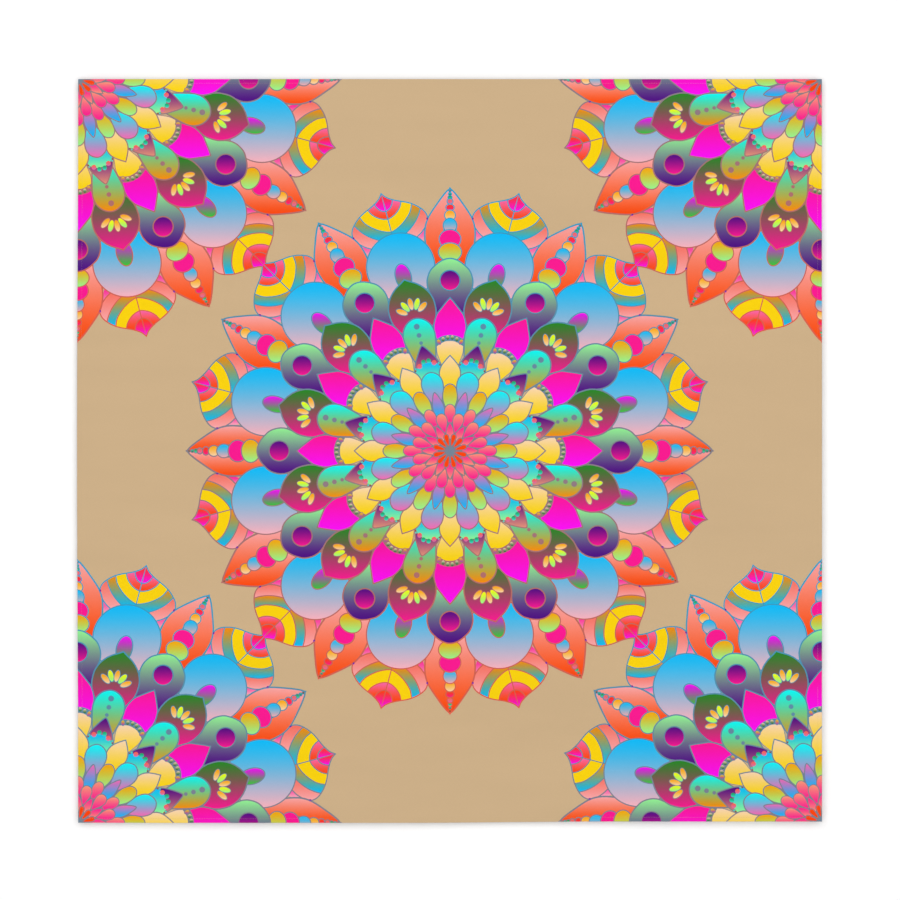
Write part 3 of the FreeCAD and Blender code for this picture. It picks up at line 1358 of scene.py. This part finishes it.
def grid_patch(across: np.ndarray, up: np.ndarray) -> Patch:
    """A plain rectangular patch with vertices at the given places across and heights.

    Args:
        across: Places across, rising.
        up: Heights, rising.

    Returns:
        The patch, all in the ground's paint.
    """
    x, z = np.meshgrid(across, up)
    columns = len(across)
    row, column = np.meshgrid(np.arange(len(up) - 1), np.arange(columns - 1), indexing="ij")
    corner = (row * columns + column).ravel()
    lower = np.stack([corner, corner + 1, corner + columns + 1], 1)
    upper = np.stack([corner, corner + columns + 1, corner + columns], 1)
    faces = np.vstack([lower, upper])
    return Patch(np.stack([x.ravel(), z.ravel()], 1), faces, np.zeros(len(faces), int))


# ---------------------------------------------------------------------------------------------
# The cloth and its hems
# ---------------------------------------------------------------------------------------------


def corner_of(node: str, which: int) -> np.ndarray:
    """A CAD node's lowest (0) or highest (1) corner, in millimetres."""
    return np.array(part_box(node)[which]) * ONE_MILLIMETRE


@dataclass(frozen=True)
class ClothSizes:
    """The cloth's sizes, read from the frame."""

    half: float = field(default_factory=lambda: float(corner_of("header_band", 1)[0]))
    length: float = field(default_factory=lambda: float(-corner_of("bottom_hem", 0)[2]))
    front: float = field(default_factory=lambda: float(corner_of("printed_panel", 0)[1]))
    reverse: float = field(default_factory=lambda: float(corner_of("printed_panel", 1)[1]))
    hem: float = field(default_factory=lambda: float(-corner_of("top_hem", 0)[2]))
    side_start: float = field(default_factory=lambda: float(-corner_of("left_hem", 1)[2]))
    bend: float = field(default_factory=lambda: -frame["joints"][0]["pos_m"][2] * ONE_MILLIMETRE)
    bend_length: float = 16.0
    bend_step: float = 2.0

    @property
    def thickness(self) -> float:
        """How thick the cloth is."""
        return self.reverse - self.front

    @property
    def fold(self) -> float:
        """The outer radius of the fold at the cloth's edges, half the hem's whole thickness."""
        return -self.front / 2

    @property
    def side_stop(self) -> float:
        """How far down the side hems reach."""
        return self.length - self.side_start

    def bend_rows(self) -> list[float]:
        """The heights of the rows of vertices between which the cloth bends at the joint."""
        count = round(self.bend_length / self.bend_step)
        return [-self.bend - self.bend_step * k for k in range(count + 1)]

    def bend_ends(self) -> tuple[Point, Point]:
        """The frame's points, in metres, between which the cloth turns from one body to the other.

        Returns:
            The bend's start and its end.
        """
        depth = frame["joints"][0]["pos_m"][1]
        start, end = -self.bend * METRES, -(self.bend + self.bend_length) * METRES
        return (0.0, depth, start), (0.0, depth, end)


@dataclass
class PrintedCloth:
    """The square of printed cloth between its hems.

    Args:
        sizes: The cloth's sizes.
        sheet: The print.
        reverse: The plainer print that shows through on the reverse.
        drape: How the cloth hangs.
    """

    sizes: ClothSizes
    sheet: PrintSheet
    reverse: PrintSheet
    drape: Drape

    def cut(self, sheet: PrintSheet) -> Patch:
        """Cuts the face out of a print: a square with a step at the end of each side hem.

        Args:
            sheet: The print.

        Returns:
            The cut patch.
        """
        s = self.sizes
        side, top = s.half - s.fold, -s.fold
        level = [-s.side_start, -s.side_stop, *s.bend_rows()]
        patch = sheet.cut((-s.half, -s.length + s.fold), (s.half, top), [-side, side], level)
        middles = patch.places[patch.faces].mean(1)
        beside = (np.abs(middles[:, 0]) > side) & (middles[:, 1] < -s.side_start)
        keep = ~(beside & (middles[:, 1] > -s.side_stop))
        used, faces = np.unique(patch.faces[keep], return_inverse=True)
        return Patch(patch.places[used], faces.reshape(-1, 3), patch.paint[keep])

    def level_at(self, depth: float, facing: float) -> Place:
        """A flat side of the cloth at a depth, facing out (-1) or back (1).

        Args:
            depth: How deep the side lies.
            facing: Which way it faces.

        Returns:
            The function that places it.
        """

        def place(places: np.ndarray) -> tuple[np.ndarray, np.ndarray]:
            """The side's points and normals.

            Args:
                places: The flat places.

            Returns:
                The points and their normals.
            """
            flat = np.full(len(places), depth)
            points = np.stack([places[:, 0], flat, places[:, 1]], 1)
            return points, np.tile([0.0, facing, 0.0], (len(places), 1))

        return place

    def build(self) -> bpy.types.Object:
        """Makes the cloth.

        Returns:
            The piece.
        """
        s = self.sizes
        shell = ClothShell("printed_cloth", self.cut(self.sheet), self.cut(self.reverse),
                           self.level_at(s.front, -1.0), self.level_at(s.reverse, 1.0))
        cloth = shell.build(self.sheet, self.reverse, self.drape)
        start, end = s.bend_ends()
        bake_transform(cloth)
        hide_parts("header_band", "printed_panel")
        return cloth


class Side(Enum):
    """The four edges of the cloth, each with the direction that points out of it."""

    TOP = (0, 1)
    FOOT = (0, -1)
    LEFT = (-1, 0)
    RIGHT = (1, 0)

    @property
    def upright(self) -> bool:
        """Whether the edge runs up and down."""
        return self.value[1] == 0


@dataclass
class FoldedHem:
    """A double-turned hem: the cloth's margin folded to the back, with its raw edge tucked in.

    Args:
        name: The piece's name.
        side: The cloth's edge that it is folded over.
        node: The CAD node that it stands for.
        sizes: The cloth's sizes.
        sheet: The print.
        reverse: The plainer print for the reverse.
        drape: How the cloth hangs.
        setback: How far the tucked edge stays clear of the fold.
        fold_steps: How many cuts divide each fold.
    """

    name: str
    side: Side
    node: str
    sizes: ClothSizes
    sheet: PrintSheet
    reverse: PrintSheet
    drape: Drape
    setback: float = 1.0
    fold_steps: int = 6

    @property
    def tuck_fold(self) -> float:
        """The outer radius of the fold that tucks the raw edge in."""
        return -self.sizes.reverse / 2

    def runs(self) -> tuple[float, float, float, float]:
        """How far along the margin each stretch ends: edge fold, turned ply, tuck, tucked ply.

        Returns:
            The four distances, in millimetres.
        """
        s = self.sizes
        edge = math.pi * s.fold
        ply = edge + s.hem - self.tuck_fold - s.fold
        tuck = ply + math.pi * self.tuck_fold
        return edge, ply, tuck, tuck + s.hem - self.tuck_fold - s.fold - self.setback

    def section(self, along: np.ndarray, depth: float) -> tuple[np.ndarray, np.ndarray]:
        """The hem's section.

        Args:
            along: How far along the margin each place is, from the cloth's face.
            depth: How far inside the printed side the places are.

        Returns:
            The places as (inwards from the cloth's outer edge, depth), and their normals.
        """
        s = self.sizes
        edge, ply, tuck, _ = self.runs()
        first = np.clip(along / s.fold, 0, math.pi)
        second = np.clip((along - ply) / self.tuck_fold, 0, math.pi)
        normal = np.stack([-np.sin(first), -np.cos(first)], 1)
        middle = np.array([s.fold, -s.fold])
        places = middle + normal * (s.fold - depth)
        places[:, 0] += np.clip(along - edge, 0, ply - edge)
        folding = along > ply
        turned_in = np.stack([np.sin(second), np.cos(second)], 1)
        middle = np.array([s.hem - self.tuck_fold, -self.tuck_fold])
        tucked = middle + turned_in * (self.tuck_fold - depth)
        tucked[:, 0] -= np.clip(along - tuck, 0, None)
        places[folding], normal[folding] = tucked[folding], turned_in[folding]
        return places, normal

    def at(self, depth: float, facing: float) -> Place:
        """One side of the folded margin.

        Args:
            depth: How far inside the printed side it is.
            facing: 1 for the printed side's normals, and -1 for the reverse's.

        Returns:
            A function that folds the margin's flat places.
        """
        s = self.sizes
        out = np.array(self.side.value, float)

        def place(places: np.ndarray) -> tuple[np.ndarray, np.ndarray]:
            """The folded points and their normals.

            Args:
                places: The flat places.

            Returns:
                The points and their normals.
            """
            from_middle = places + np.array([0.0, s.length / 2])
            outwards = from_middle @ out
            reach = s.half if self.side.upright else s.length / 2
            section, normal = self.section(np.maximum(outwards - reach + s.fold, 0.0), depth)
            moved = (reach - section[:, 0] - outwards)[:, None] * out
            points = np.insert(places + moved, 1, section[:, 1], axis=1)
            normals = np.stack([-normal[:, 0] * out[0], normal[:, 1], -normal[:, 0] * out[1]], 1)
            return points, normals * facing

        return place

    def build(self) -> bpy.types.Object:
        """Makes the hem.

        Returns:
            The piece.
        """
        s = self.sizes
        edge, ply, tuck, end = self.runs()
        turns = [edge * k / self.fold_steps for k in range(1, self.fold_steps + 1)]
        turns += [ply + (tuck - ply) * k / self.fold_steps for k in range(self.fold_steps + 1)]
        reach = (s.half if self.side.upright else s.length / 2) - s.fold
        out = sum(self.side.value)
        cuts = sorted(out * (reach + turn) for turn in turns)
        ends = sorted((out * reach, out * (reach + end)))
        step = 20.0
        if self.side.upright:
            low, high = (ends[0], -s.side_stop), (ends[1], -s.side_start)
            rows = s.bend_rows()
            outer = self.sheet.cut(low, high, cuts, rows)
            level = [z for z in np.arange(low[1], high[1], step) if z < rows[-1] - 1] + rows + [high[1]]
            inner = grid_patch(np.array([ends[0], *cuts, ends[1]]), np.unique(level))
        else:
            shift = -s.length / 2
            low, high = (-s.half, ends[0] + shift), (s.half, ends[1] + shift)
            cuts = [cut + shift for cut in cuts]
            outer = self.sheet.cut(low, high, [], cuts)
            across = np.append(np.arange(low[0], high[0], step), high[0])
            inner = grid_patch(across, np.array([low[1], *cuts, high[1]]))
        shell = ClothShell(self.name, outer, inner, self.at(0.0, 1.0), self.at(s.thickness, -1.0))
        hem = shell.build(self.sheet, self.reverse, self.drape)
        attach(hem, self.side)
        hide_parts(self.node)
        return hem


def attach(piece: bpy.types.Object, side: Side) -> None:
    """Hangs a piece on the cloth's top edge from the header body and one on its foot from the drop body; a
    piece on a side edge only has its placement baked in.

    Args:
        piece: A hem or a row of stitches.
        side: The edge that it runs along.
    """
    if side.upright:
        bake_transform(piece)
    else:
        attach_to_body(piece, "header" if side is Side.TOP else "drop")


@dataclass
class StitchRow:
    """A row of lockstitches along a hem, as they show on one side of the cloth.

    Args:
        name: The piece's name.
        side: The cloth's edge that the row runs along.
        node: The CAD node that it stands for.
        facing: -1 on the cloth's face, and 1 on its back.
        sizes: The cloth's sizes.
        drape: How the cloth hangs.
        pitch: The distance from one stitch to the next.
        showing: How much of the pitch one stitch covers.
        proud: How far a stitch stands out of the cloth.
        sunk: How deep its ends go.
    """

    name: str
    side: Side
    node: str
    facing: int
    sizes: ClothSizes
    drape: Drape
    pitch: float = 3.2
    showing: float = 0.86
    proud: float = 0.14
    sunk: float = 0.28
    corners: int = 6

    def one_stitch(self, radius: float) -> tuple[np.ndarray, list[list[int]]]:
        """Models one stitch, lying along X with its outer side towards +Y.

        Args:
            radius: The thread's radius.

        Returns:
            The stitch's points and its faces.
        """
        length = self.pitch * self.showing
        bpy.ops.object.select_all(action="DESELECT")
        bpy.ops.mesh.primitive_cylinder_add(vertices=self.corners, radius=radius, depth=length,
                                            rotation=(0.0, math.pi / 2, 0.0))
        stitch = bpy.context.object
        bpy.ops.object.transform_apply(location=False, rotation=True, scale=False)
        bpy.ops.object.mode_set(mode="EDIT")
        for share in (-0.34, 0.0, 0.34):
            bpy.ops.mesh.select_all(action="SELECT")
            bpy.ops.mesh.bisect(plane_co=(length * share, 0, 0), plane_no=(1, 0, 0))
        bpy.ops.object.mode_set(mode="OBJECT")
        mesh = stitch.data
        points = np.array([v.co for v in mesh.vertices], float)
        faces = [list(polygon.vertices) for polygon in mesh.polygons]
        bpy.data.objects.remove(stitch)
        bpy.data.meshes.remove(mesh)
        along = np.abs(points[:, 0]) / (length / 2)
        slim = 1.0 - 0.3 * along**3
        arch = self.proud - radius - (self.proud + self.sunk) * np.clip(along, 0, 1) ** 4
        points[:, 1] = points[:, 1] * slim * 0.85 + arch
        points[:, 2] *= slim
        return points, faces

    def build(self) -> bpy.types.Object:
        """Makes the row.

        Returns:
            The piece.
        """
        low, high = corner_of(self.node, 0), corner_of(self.node, 1)
        along = 2 if self.side.upright else 0
        across = 2 - along
        radius = (high[across] - low[across]) / 2
        points, faces = self.one_stitch(radius)
        count = round((high[along] - low[along]) / self.pitch)
        middles = low[along] + (np.arange(count) + 0.5) * (high[along] - low[along]) / count
        surface = self.sizes.front if self.facing < 0 else 0.0
        all_points, all_faces = [], []
        for number, middle in enumerate(middles):
            place = np.empty_like(points)
            wander = 0.05 * math.sin(number * 2.4) + 0.03 * math.sin(number * 0.7)
            place[:, along] = points[:, 0] + middle
            place[:, 1] = surface + self.facing * points[:, 1]
            place[:, across] = points[:, 2] + (low[across] + high[across]) / 2 + wander
            all_points.append(place)
            all_faces += [[v + number * len(points) for v in face] for face in faces]
        mesh = bpy.data.meshes.new(self.name)
        mesh.from_pydata(self.drape.lay(np.vstack(all_points)).tolist(), [], all_faces)
        face_outwards(mesh)
        mesh.polygons.foreach_set("use_smooth", [True] * len(mesh.polygons))
        row = placed(self.name, mesh)
        attach(row, self.side)
        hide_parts(self.node)
        return row


def face_outwards(mesh: bpy.types.Mesh) -> None:
    """Turns every face of a closed mesh outwards.

    Args:
        mesh: The mesh, which is changed.
    """
    shape = bmesh.new()
    shape.from_mesh(mesh)
    bmesh.ops.recalc_face_normals(shape, faces=shape.faces[:])
    shape.to_mesh(mesh)
    shape.free()
    mesh.update()


# ---------------------------------------------------------------------------------------------
# Materials
# ---------------------------------------------------------------------------------------------


@dataclass
class NodeSheet:
    """A material's or a group's nodes, laid out from left to right as they are added."""

    tree: bpy.types.NodeTree
    column: int = 0

    def add(self, kind: str, **settings: object) -> bpy.types.Node:
        """Adds a node.

        Args:
            kind: The node's type.
            settings: Its own settings by name. One that starts with "in_" is an input's number or
                the socket that feeds it, and the rest of the name is the input's index.

        Returns:
            The node.
        """
        node = self.tree.nodes.new(kind)
        node.location = (180 * self.column, 0)
        self.column += 1
        for name, value in settings.items():
            if not name.startswith("in_"):
                setattr(node, name, value)
        for name, value in settings.items():
            if name.startswith("in_"):
                self.feed(node.inputs[int(name[3:])], value)
        return node

    def feed(self, socket: bpy.types.NodeSocket, value: object) -> None:
        """Links a socket to an input, or sets the input's own number or colour.

        Args:
            socket: The input.
            value: What feeds it.
        """
        if isinstance(value, bpy.types.NodeSocket):
            self.tree.links.new(value, socket)
        else:
            socket.default_value = value

    def math(self, operation: str, first: object, second: object = 0.0, third: object = 0.0
             ) -> bpy.types.NodeSocket:
        """A sum of one, two or three numbers."""
        return self.add("ShaderNodeMath", operation=operation, in_0=first, in_1=second, in_2=third).outputs[0]

    def vector(self, operation: str, first: object, second: object) -> bpy.types.NodeSocket:
        """A sum of two vectors."""
        return self.add("ShaderNodeVectorMath", operation=operation, in_0=first, in_1=second).outputs[0]

    def mix(self, share: object, first: object, second: object) -> bpy.types.NodeSocket:
        """A mix of two colours.

        Args:
            share: How much of the second.
            first: One colour.
            second: The other colour.

        Returns:
            The mix's output.
        """
        node = self.add("ShaderNodeMix", data_type="RGBA")
        self.feed(node.inputs[0], share)
        self.feed(node.inputs[6], first)
        self.feed(node.inputs[7], second)
        return node.outputs[2]


def new_group(name: str, inputs: dict[str, tuple[str, object]], outputs: dict[str, str]) -> NodeSheet:
    """Starts a shader node group.

    Args:
        name: The group's name.
        inputs: Each input's socket type and first value.
        outputs: Each output's socket type.

    Returns:
        The group's nodes, with its input and output nodes added.
    """
    tree = bpy.data.node_groups.new(name, "ShaderNodeTree")
    for label, (kind, value) in inputs.items():
        socket = tree.interface.new_socket(name=label, in_out="INPUT", socket_type=kind)
        socket.default_value = value
    for label, kind in outputs.items():
        tree.interface.new_socket(name=label, in_out="OUTPUT", socket_type=kind)
    sheet = NodeSheet(tree)
    sheet.add("NodeGroupInput")
    return sheet


def weave_group() -> bpy.types.NodeTree:
    """A plain weave: where its threads stand up, how they vary in tone and gloss, and painted ripple shade.

    Returns:
        The shared node group.
    """
    group = new_group(
        "plain_weave",
        {"Place": ("NodeSocketVector", (0, 0, 0)), "Pitch": ("NodeSocketFloat", 0.0005),
         "Slub": ("NodeSocketFloat", 0.05)},
        {"Height": "NodeSocketFloat", "Shade": "NodeSocketFloat", "Roughness": "NodeSocketFloat"},
    )
    given = group.tree.nodes["Group Input"].outputs
    cross = group.add("ShaderNodeSeparateXYZ", in_0=given["Place"])
    waves = []
    for axis in (0, 1):
        turns = group.math("DIVIDE", group.math("MULTIPLY", cross.outputs[axis], math.pi), given["Pitch"])
        waves.append(group.math("SINE", turns))
    over = group.math("MULTIPLY", waves[0], waves[1])
    warp_on_top = group.math("MULTIPLY_ADD", over, 0.5, 0.5)
    weft_on_top = group.math("MULTIPLY_ADD", over, -0.5, 0.5)
    warp = group.math("MULTIPLY", group.math("ABSOLUTE", waves[0]), warp_on_top)
    weft = group.math("MULTIPLY", group.math("ABSOLUTE", waves[1]), weft_on_top)
    height = group.math("MAXIMUM", warp, weft)
    streaks = []
    for stretch in ((240.0, 2600.0, 1.0), (2600.0, 240.0, 1.0)):
        stretched = group.vector("MULTIPLY", given["Place"], stretch)
        noise = group.add("ShaderNodeTexNoise", noise_dimensions="2D", in_0=stretched)
        noise.inputs["Scale"].default_value = 1.0
        noise.inputs["Detail"].default_value = 1.0
        streaks.append(noise.outputs[0])
    slub = group.math("SUBTRACT", group.math("ADD", *streaks), 1.0)
    # Broad level bands about 70 mm tall: partly the cloth's own uneven tone, partly painted shade standing in
    # for the light on the hanging cloth's soft ripples.
    broad = group.add("ShaderNodeTexNoise", noise_dimensions="2D",
                      in_0=group.vector("MULTIPLY", given["Place"], (3.0, 14.0, 1.0)))
    broad.inputs["Scale"].default_value = 1.0
    shade = group.math("MULTIPLY_ADD", slub, given["Slub"], 1.0)
    shade = group.math("MULTIPLY_ADD", group.math("SUBTRACT", broad.outputs[0], 0.5), 0.075, shade)
    rough = group.math("MULTIPLY_ADD", slub, 0.12, 0.86)
    out = group.add("NodeGroupOutput")
    group.feed(out.inputs["Height"], group.math("MULTIPLY_ADD", slub, 0.4, height))
    group.feed(out.inputs["Shade"], shade)
    group.feed(out.inputs["Roughness"], rough)
    return group.tree


def dyed_group() -> bpy.types.NodeTree:
    """Turns a coded dye into the colour of cloth that has taken it up.

    Returns:
        The shared node group.
    """
    group = new_group(
        "dyed_cloth",
        {"Dye": ("NodeSocketColor", (1, 1, 1, 1)), "Shade": ("NodeSocketFloat", 1.0),
         "Strength": ("NodeSocketFloat", 1.0), "Bare cloth": ("NodeSocketColor", (1, 1, 1, 1))},
        {"Color": "NodeSocketColor"},
    )
    given = group.tree.nodes["Group Input"].outputs
    lifted = group.vector("ADD", given["Dye"], (0.055, 0.055, 0.055))
    scaled = group.vector("DIVIDE", lifted, (1.055, 1.055, 1.055))
    linear = group.add("ShaderNodeGamma", in_0=scaled, in_1=2.4).outputs[0]
    linear = group.vector("MULTIPLY", linear, (0.895, 0.895, 0.895))
    mixed = group.mix(given["Strength"], given["Bare cloth"], linear)
    # The Shade input brings in the threads' own tone and the weave's painted ripple shade.
    shaded = group.vector("MULTIPLY", mixed, group.add("ShaderNodeCombineXYZ", in_0=given["Shade"],
                                                       in_1=given["Shade"], in_2=given["Shade"]).outputs[0])
    out = group.add("NodeGroupOutput")
    group.feed(out.inputs["Color"], shaded)
    return group.tree


@dataclass
class Wardrobe:
    """Makes the materials, which share their node groups."""

    weave: bpy.types.NodeTree = field(default_factory=weave_group)
    dyed: bpy.types.NodeTree = field(default_factory=dyed_group)

    def start(self, name: str) -> tuple[bpy.types.Material, NodeSheet, bpy.types.Node]:
        """A new material, its nodes and its shader.

        Args:
            name: The material's name.

        Returns:
            The material, its nodes and its shader.
        """
        material = bpy.data.materials.new(name)
        material.use_nodes = True
        sheet = NodeSheet(material.node_tree, 3)
        return material, sheet, material.node_tree.nodes["Principled BSDF"]

    def group(self, sheet: NodeSheet, tree: bpy.types.NodeTree, **values: object) -> bpy.types.Node:
        """Places a shared group in a material, with its inputs set by name.

        Args:
            sheet: The material's nodes.
            tree: The shared group.
            values: What feeds each named input.

        Returns:
            The group's node.
        """
        node = sheet.add("ShaderNodeGroup", node_tree=tree)
        for label, value in values.items():
            sheet.feed(node.inputs[label.replace("_", " ")], value)
        return node

    def cloth(self, finish: ClothFinish) -> bpy.types.Material:
        """Woven cloth with the print on it.

        Args:
            finish: The cloth's finish.

        Returns:
            The material.
        """
        material, sheet, shader = self.start(finish.name)
        place = sheet.add("ShaderNodeUVMap", uv_map="Weave").outputs[0]
        dye = sheet.add("ShaderNodeAttribute", attribute_name="dye").outputs["Color"]
        weave = self.group(sheet, self.weave, Place=place, Pitch=finish.pitch, Slub=0.07)
        dyed = self.group(sheet, self.dyed, Dye=dye, Shade=weave.outputs["Shade"],
                          Strength=finish.print_strength, Bare_cloth=(*finish.bare, 1.0))
        bump = sheet.add("ShaderNodeBump")
        bump.inputs["Strength"].default_value = 0.5
        bump.inputs["Distance"].default_value = finish.relief
        sheet.feed(bump.inputs["Height"], weave.outputs["Height"])
        sheet.feed(shader.inputs["Base Color"], dyed.outputs[0])
        sheet.feed(shader.inputs["Roughness"], weave.outputs["Roughness"])
        sheet.feed(shader.inputs["Normal"], bump.outputs[0])
        shader.inputs["Specular IOR Level"].default_value = 0.12
        shader.inputs["Sheen Weight"].default_value = finish.sheen
        shader.inputs["Sheen Roughness"].default_value = 0.5
        return material

    def thread(self, finish: ThreadFinish) -> bpy.types.Material:
        """Twisted sewing thread, with painted shade in the grooves of its twist.

        Args:
            finish: The thread's finish.

        Returns:
            The material.
        """
        material, sheet, shader = self.start(finish.name)
        place = sheet.add("ShaderNodeTexCoord").outputs["Object"]
        cross = sheet.add("ShaderNodeSeparateXYZ", in_0=place)
        slanting = sheet.math("ADD", sheet.math("ADD", cross.outputs[0], cross.outputs[2]), cross.outputs[1])
        turns = sheet.math("MULTIPLY", slanting, 2 * math.pi / finish.twist_pitch)
        twist = sheet.math("MULTIPLY_ADD", sheet.math("SINE", turns), 0.5, 0.5)
        # Painted shade: the colour is darker where the twist's bump is low, in the grooves between the plies.
        dark = tuple(part * 0.72 for part in finish.colour)
        sheet.feed(shader.inputs["Base Color"], sheet.mix(twist, (*dark, 1.0), (*finish.colour, 1.0)))
        bump = sheet.add("ShaderNodeBump")
        bump.inputs["Strength"].default_value = 0.4
        bump.inputs["Distance"].default_value = 0.00005
        sheet.feed(bump.inputs["Height"], twist)
        sheet.feed(shader.inputs["Normal"], bump.outputs[0])
        shader.inputs["Roughness"].default_value = finish.roughness
        shader.inputs["Sheen Weight"].default_value = finish.sheen
        return material


# ---------------------------------------------------------------------------------------------
# The studio
# ---------------------------------------------------------------------------------------------


@dataclass
class Studio:
    """A pale floor, a white wall behind the cloth, soft light and the camera.

    Args:
        middle: The height of the cloth's middle, in metres.
        wall_gap: How far the wall is behind the cloth's back.
        sky: How bright the light from all round is.
        key: The soft box's power, in watts.
    """

    middle: float
    wall_gap: float = 0.0140
    floor_drop: float = 3.0
    sky: float = 0.345
    key: float = 735.0
    key_size: float = 11.0
    key_place: tuple[float, float, float] = (0.0, -8.0, 0.9)
    lens: float = 150.0
    camera_distance: float = 7.061

    def surface(self, name: str, size: float, place: tuple, turn: tuple, colour: float
                ) -> bpy.types.Object:
        """A flat plain surface of the studio.

        Args:
            name: The surface's name.
            size: Its side's length.
            place: Its middle.
            turn: How it is turned.
            colour: How pale it is.

        Returns:
            The surface.
        """
        bpy.ops.object.select_all(action="DESELECT")
        bpy.ops.mesh.primitive_plane_add(size=size, location=place, rotation=turn)
        plane = bpy.context.object
        plane.name = name
        material = bpy.data.materials.new(name)
        material.use_nodes = True
        shader = material.node_tree.nodes["Principled BSDF"]
        shader.inputs["Base Color"].default_value = (colour, colour, colour, 1.0)
        shader.inputs["Roughness"].default_value = 0.9
        shader.inputs["Specular IOR Level"].default_value = 0.0
        plane.data.materials.append(material)
        return plane

    def build_wall(self) -> None:
        """The wall, which can be seen through from behind and doesn't block the soft light."""
        wall = self.surface("studio_wall", 9.0, (0.0, self.wall_gap, self.middle),
                            (math.pi / 2, 0.0, 0.0), 1.0)
        tree = wall.data.materials[0].node_tree
        sheet = NodeSheet(tree, 3)
        behind = sheet.add("ShaderNodeNewGeometry").outputs["Backfacing"]
        clear = sheet.add("ShaderNodeBsdfTransparent").outputs[0]
        shader = tree.nodes["Principled BSDF"].outputs[0]
        mixed = sheet.add("ShaderNodeMixShader", in_0=behind, in_1=shader, in_2=clear)
        sheet.feed(tree.nodes["Material Output"].inputs["Surface"], mixed.outputs[0])
        wall.visible_shadow = False
        wall.visible_diffuse = False
        wall.visible_glossy = False

    def build(self) -> None:
        """Makes the studio."""
        self.build_wall()
        self.surface("studio_floor", 24.0, (0.0, 0.0, self.middle - self.floor_drop), (0, 0, 0), 0.82)
        world = bpy.data.worlds.new("studio_light")
        world.use_nodes = True
        sky = world.node_tree.nodes["Background"]
        sky.inputs["Color"].default_value = (1.0, 1.0, 1.0, 1.0)
        sky.inputs["Strength"].default_value = self.sky
        bpy.context.scene.world = world
        light = bpy.data.lights.new("soft_box", "AREA")
        light.shape, light.size, light.energy = "SQUARE", self.key_size, self.key
        box = bpy.data.objects.new("soft_box", light)
        x, y, z = self.key_place
        box.location = (x, y, self.middle + z)
        box.rotation_euler = (math.atan2(-y, z), 0.0, math.atan2(x, y) + math.pi)
        bpy.context.scene.collection.objects.link(box)
        camera = bpy.data.cameras.new("camera")
        camera.lens = self.lens
        viewer = bpy.data.objects.new("camera", camera)
        viewer.location = (0.0, -self.camera_distance, self.middle + 0.0017)
        viewer.rotation_euler = (math.pi / 2, 0.0, 0.0)
        bpy.context.scene.collection.objects.link(viewer)
        bpy.context.scene.camera = viewer
        bpy.context.scene.view_settings.view_transform = "Standard"


def dress(piece: bpy.types.Object, *materials: bpy.types.Material) -> None:
    """Gives a piece its materials, in the order of its slots.

    Args:
        piece: The piece.
        materials: Its materials.
    """
    for material in materials:
        piece.data.materials.append(material)
    log.info("%s: %d faces", piece.name, len(piece.data.polygons))


def main() -> None:
    """Builds the hanging piece by piece."""
    logging.basicConfig(level=logging.INFO, format="%(name)s: %(message)s")
    sizes = ClothSizes()
    motifs = Rosette().motifs()
    sheet = PrintSheet(PrintTile(motifs, sizes.half).build(), sizes.half)
    plain = PrintTile(motifs, sizes.half, drawn=False, slack=0.8, smallest=60.0).build()
    reverse = PrintSheet(plain, sizes.half)
    drape = Drape(sizes.half, sizes.length)
    wardrobe = Wardrobe()
    face = wardrobe.cloth(ClothFinish("printed_face", 1.0))
    back = wardrobe.cloth(ClothFinish("cloth_reverse", 0.42))
    thread = wardrobe.thread(ThreadFinish())
    cloth = PrintedCloth(sizes, sheet, reverse, drape).build()
    dress(cloth, face, back)
    for side, word in ((Side.TOP, "top"), (Side.FOOT, "bottom"), (Side.LEFT, "left"), (Side.RIGHT, "right")):
        hem = FoldedHem(f"{word}_hem_fold", side, f"{word}_hem", sizes, sheet, reverse, drape).build()
        dress(hem, face, back)
        for facing, kind in ((-1, "needle"), (1, "bobbin")):
            name, node = f"{word}_{kind}_stitches", f"{word}_{kind}_thread"
            row = StitchRow(name, side, node, facing, sizes, drape).build()
            dress(row, thread)
    Studio(-sizes.length / 2 * METRES).build()


if __name__ == "__main__":
    main()
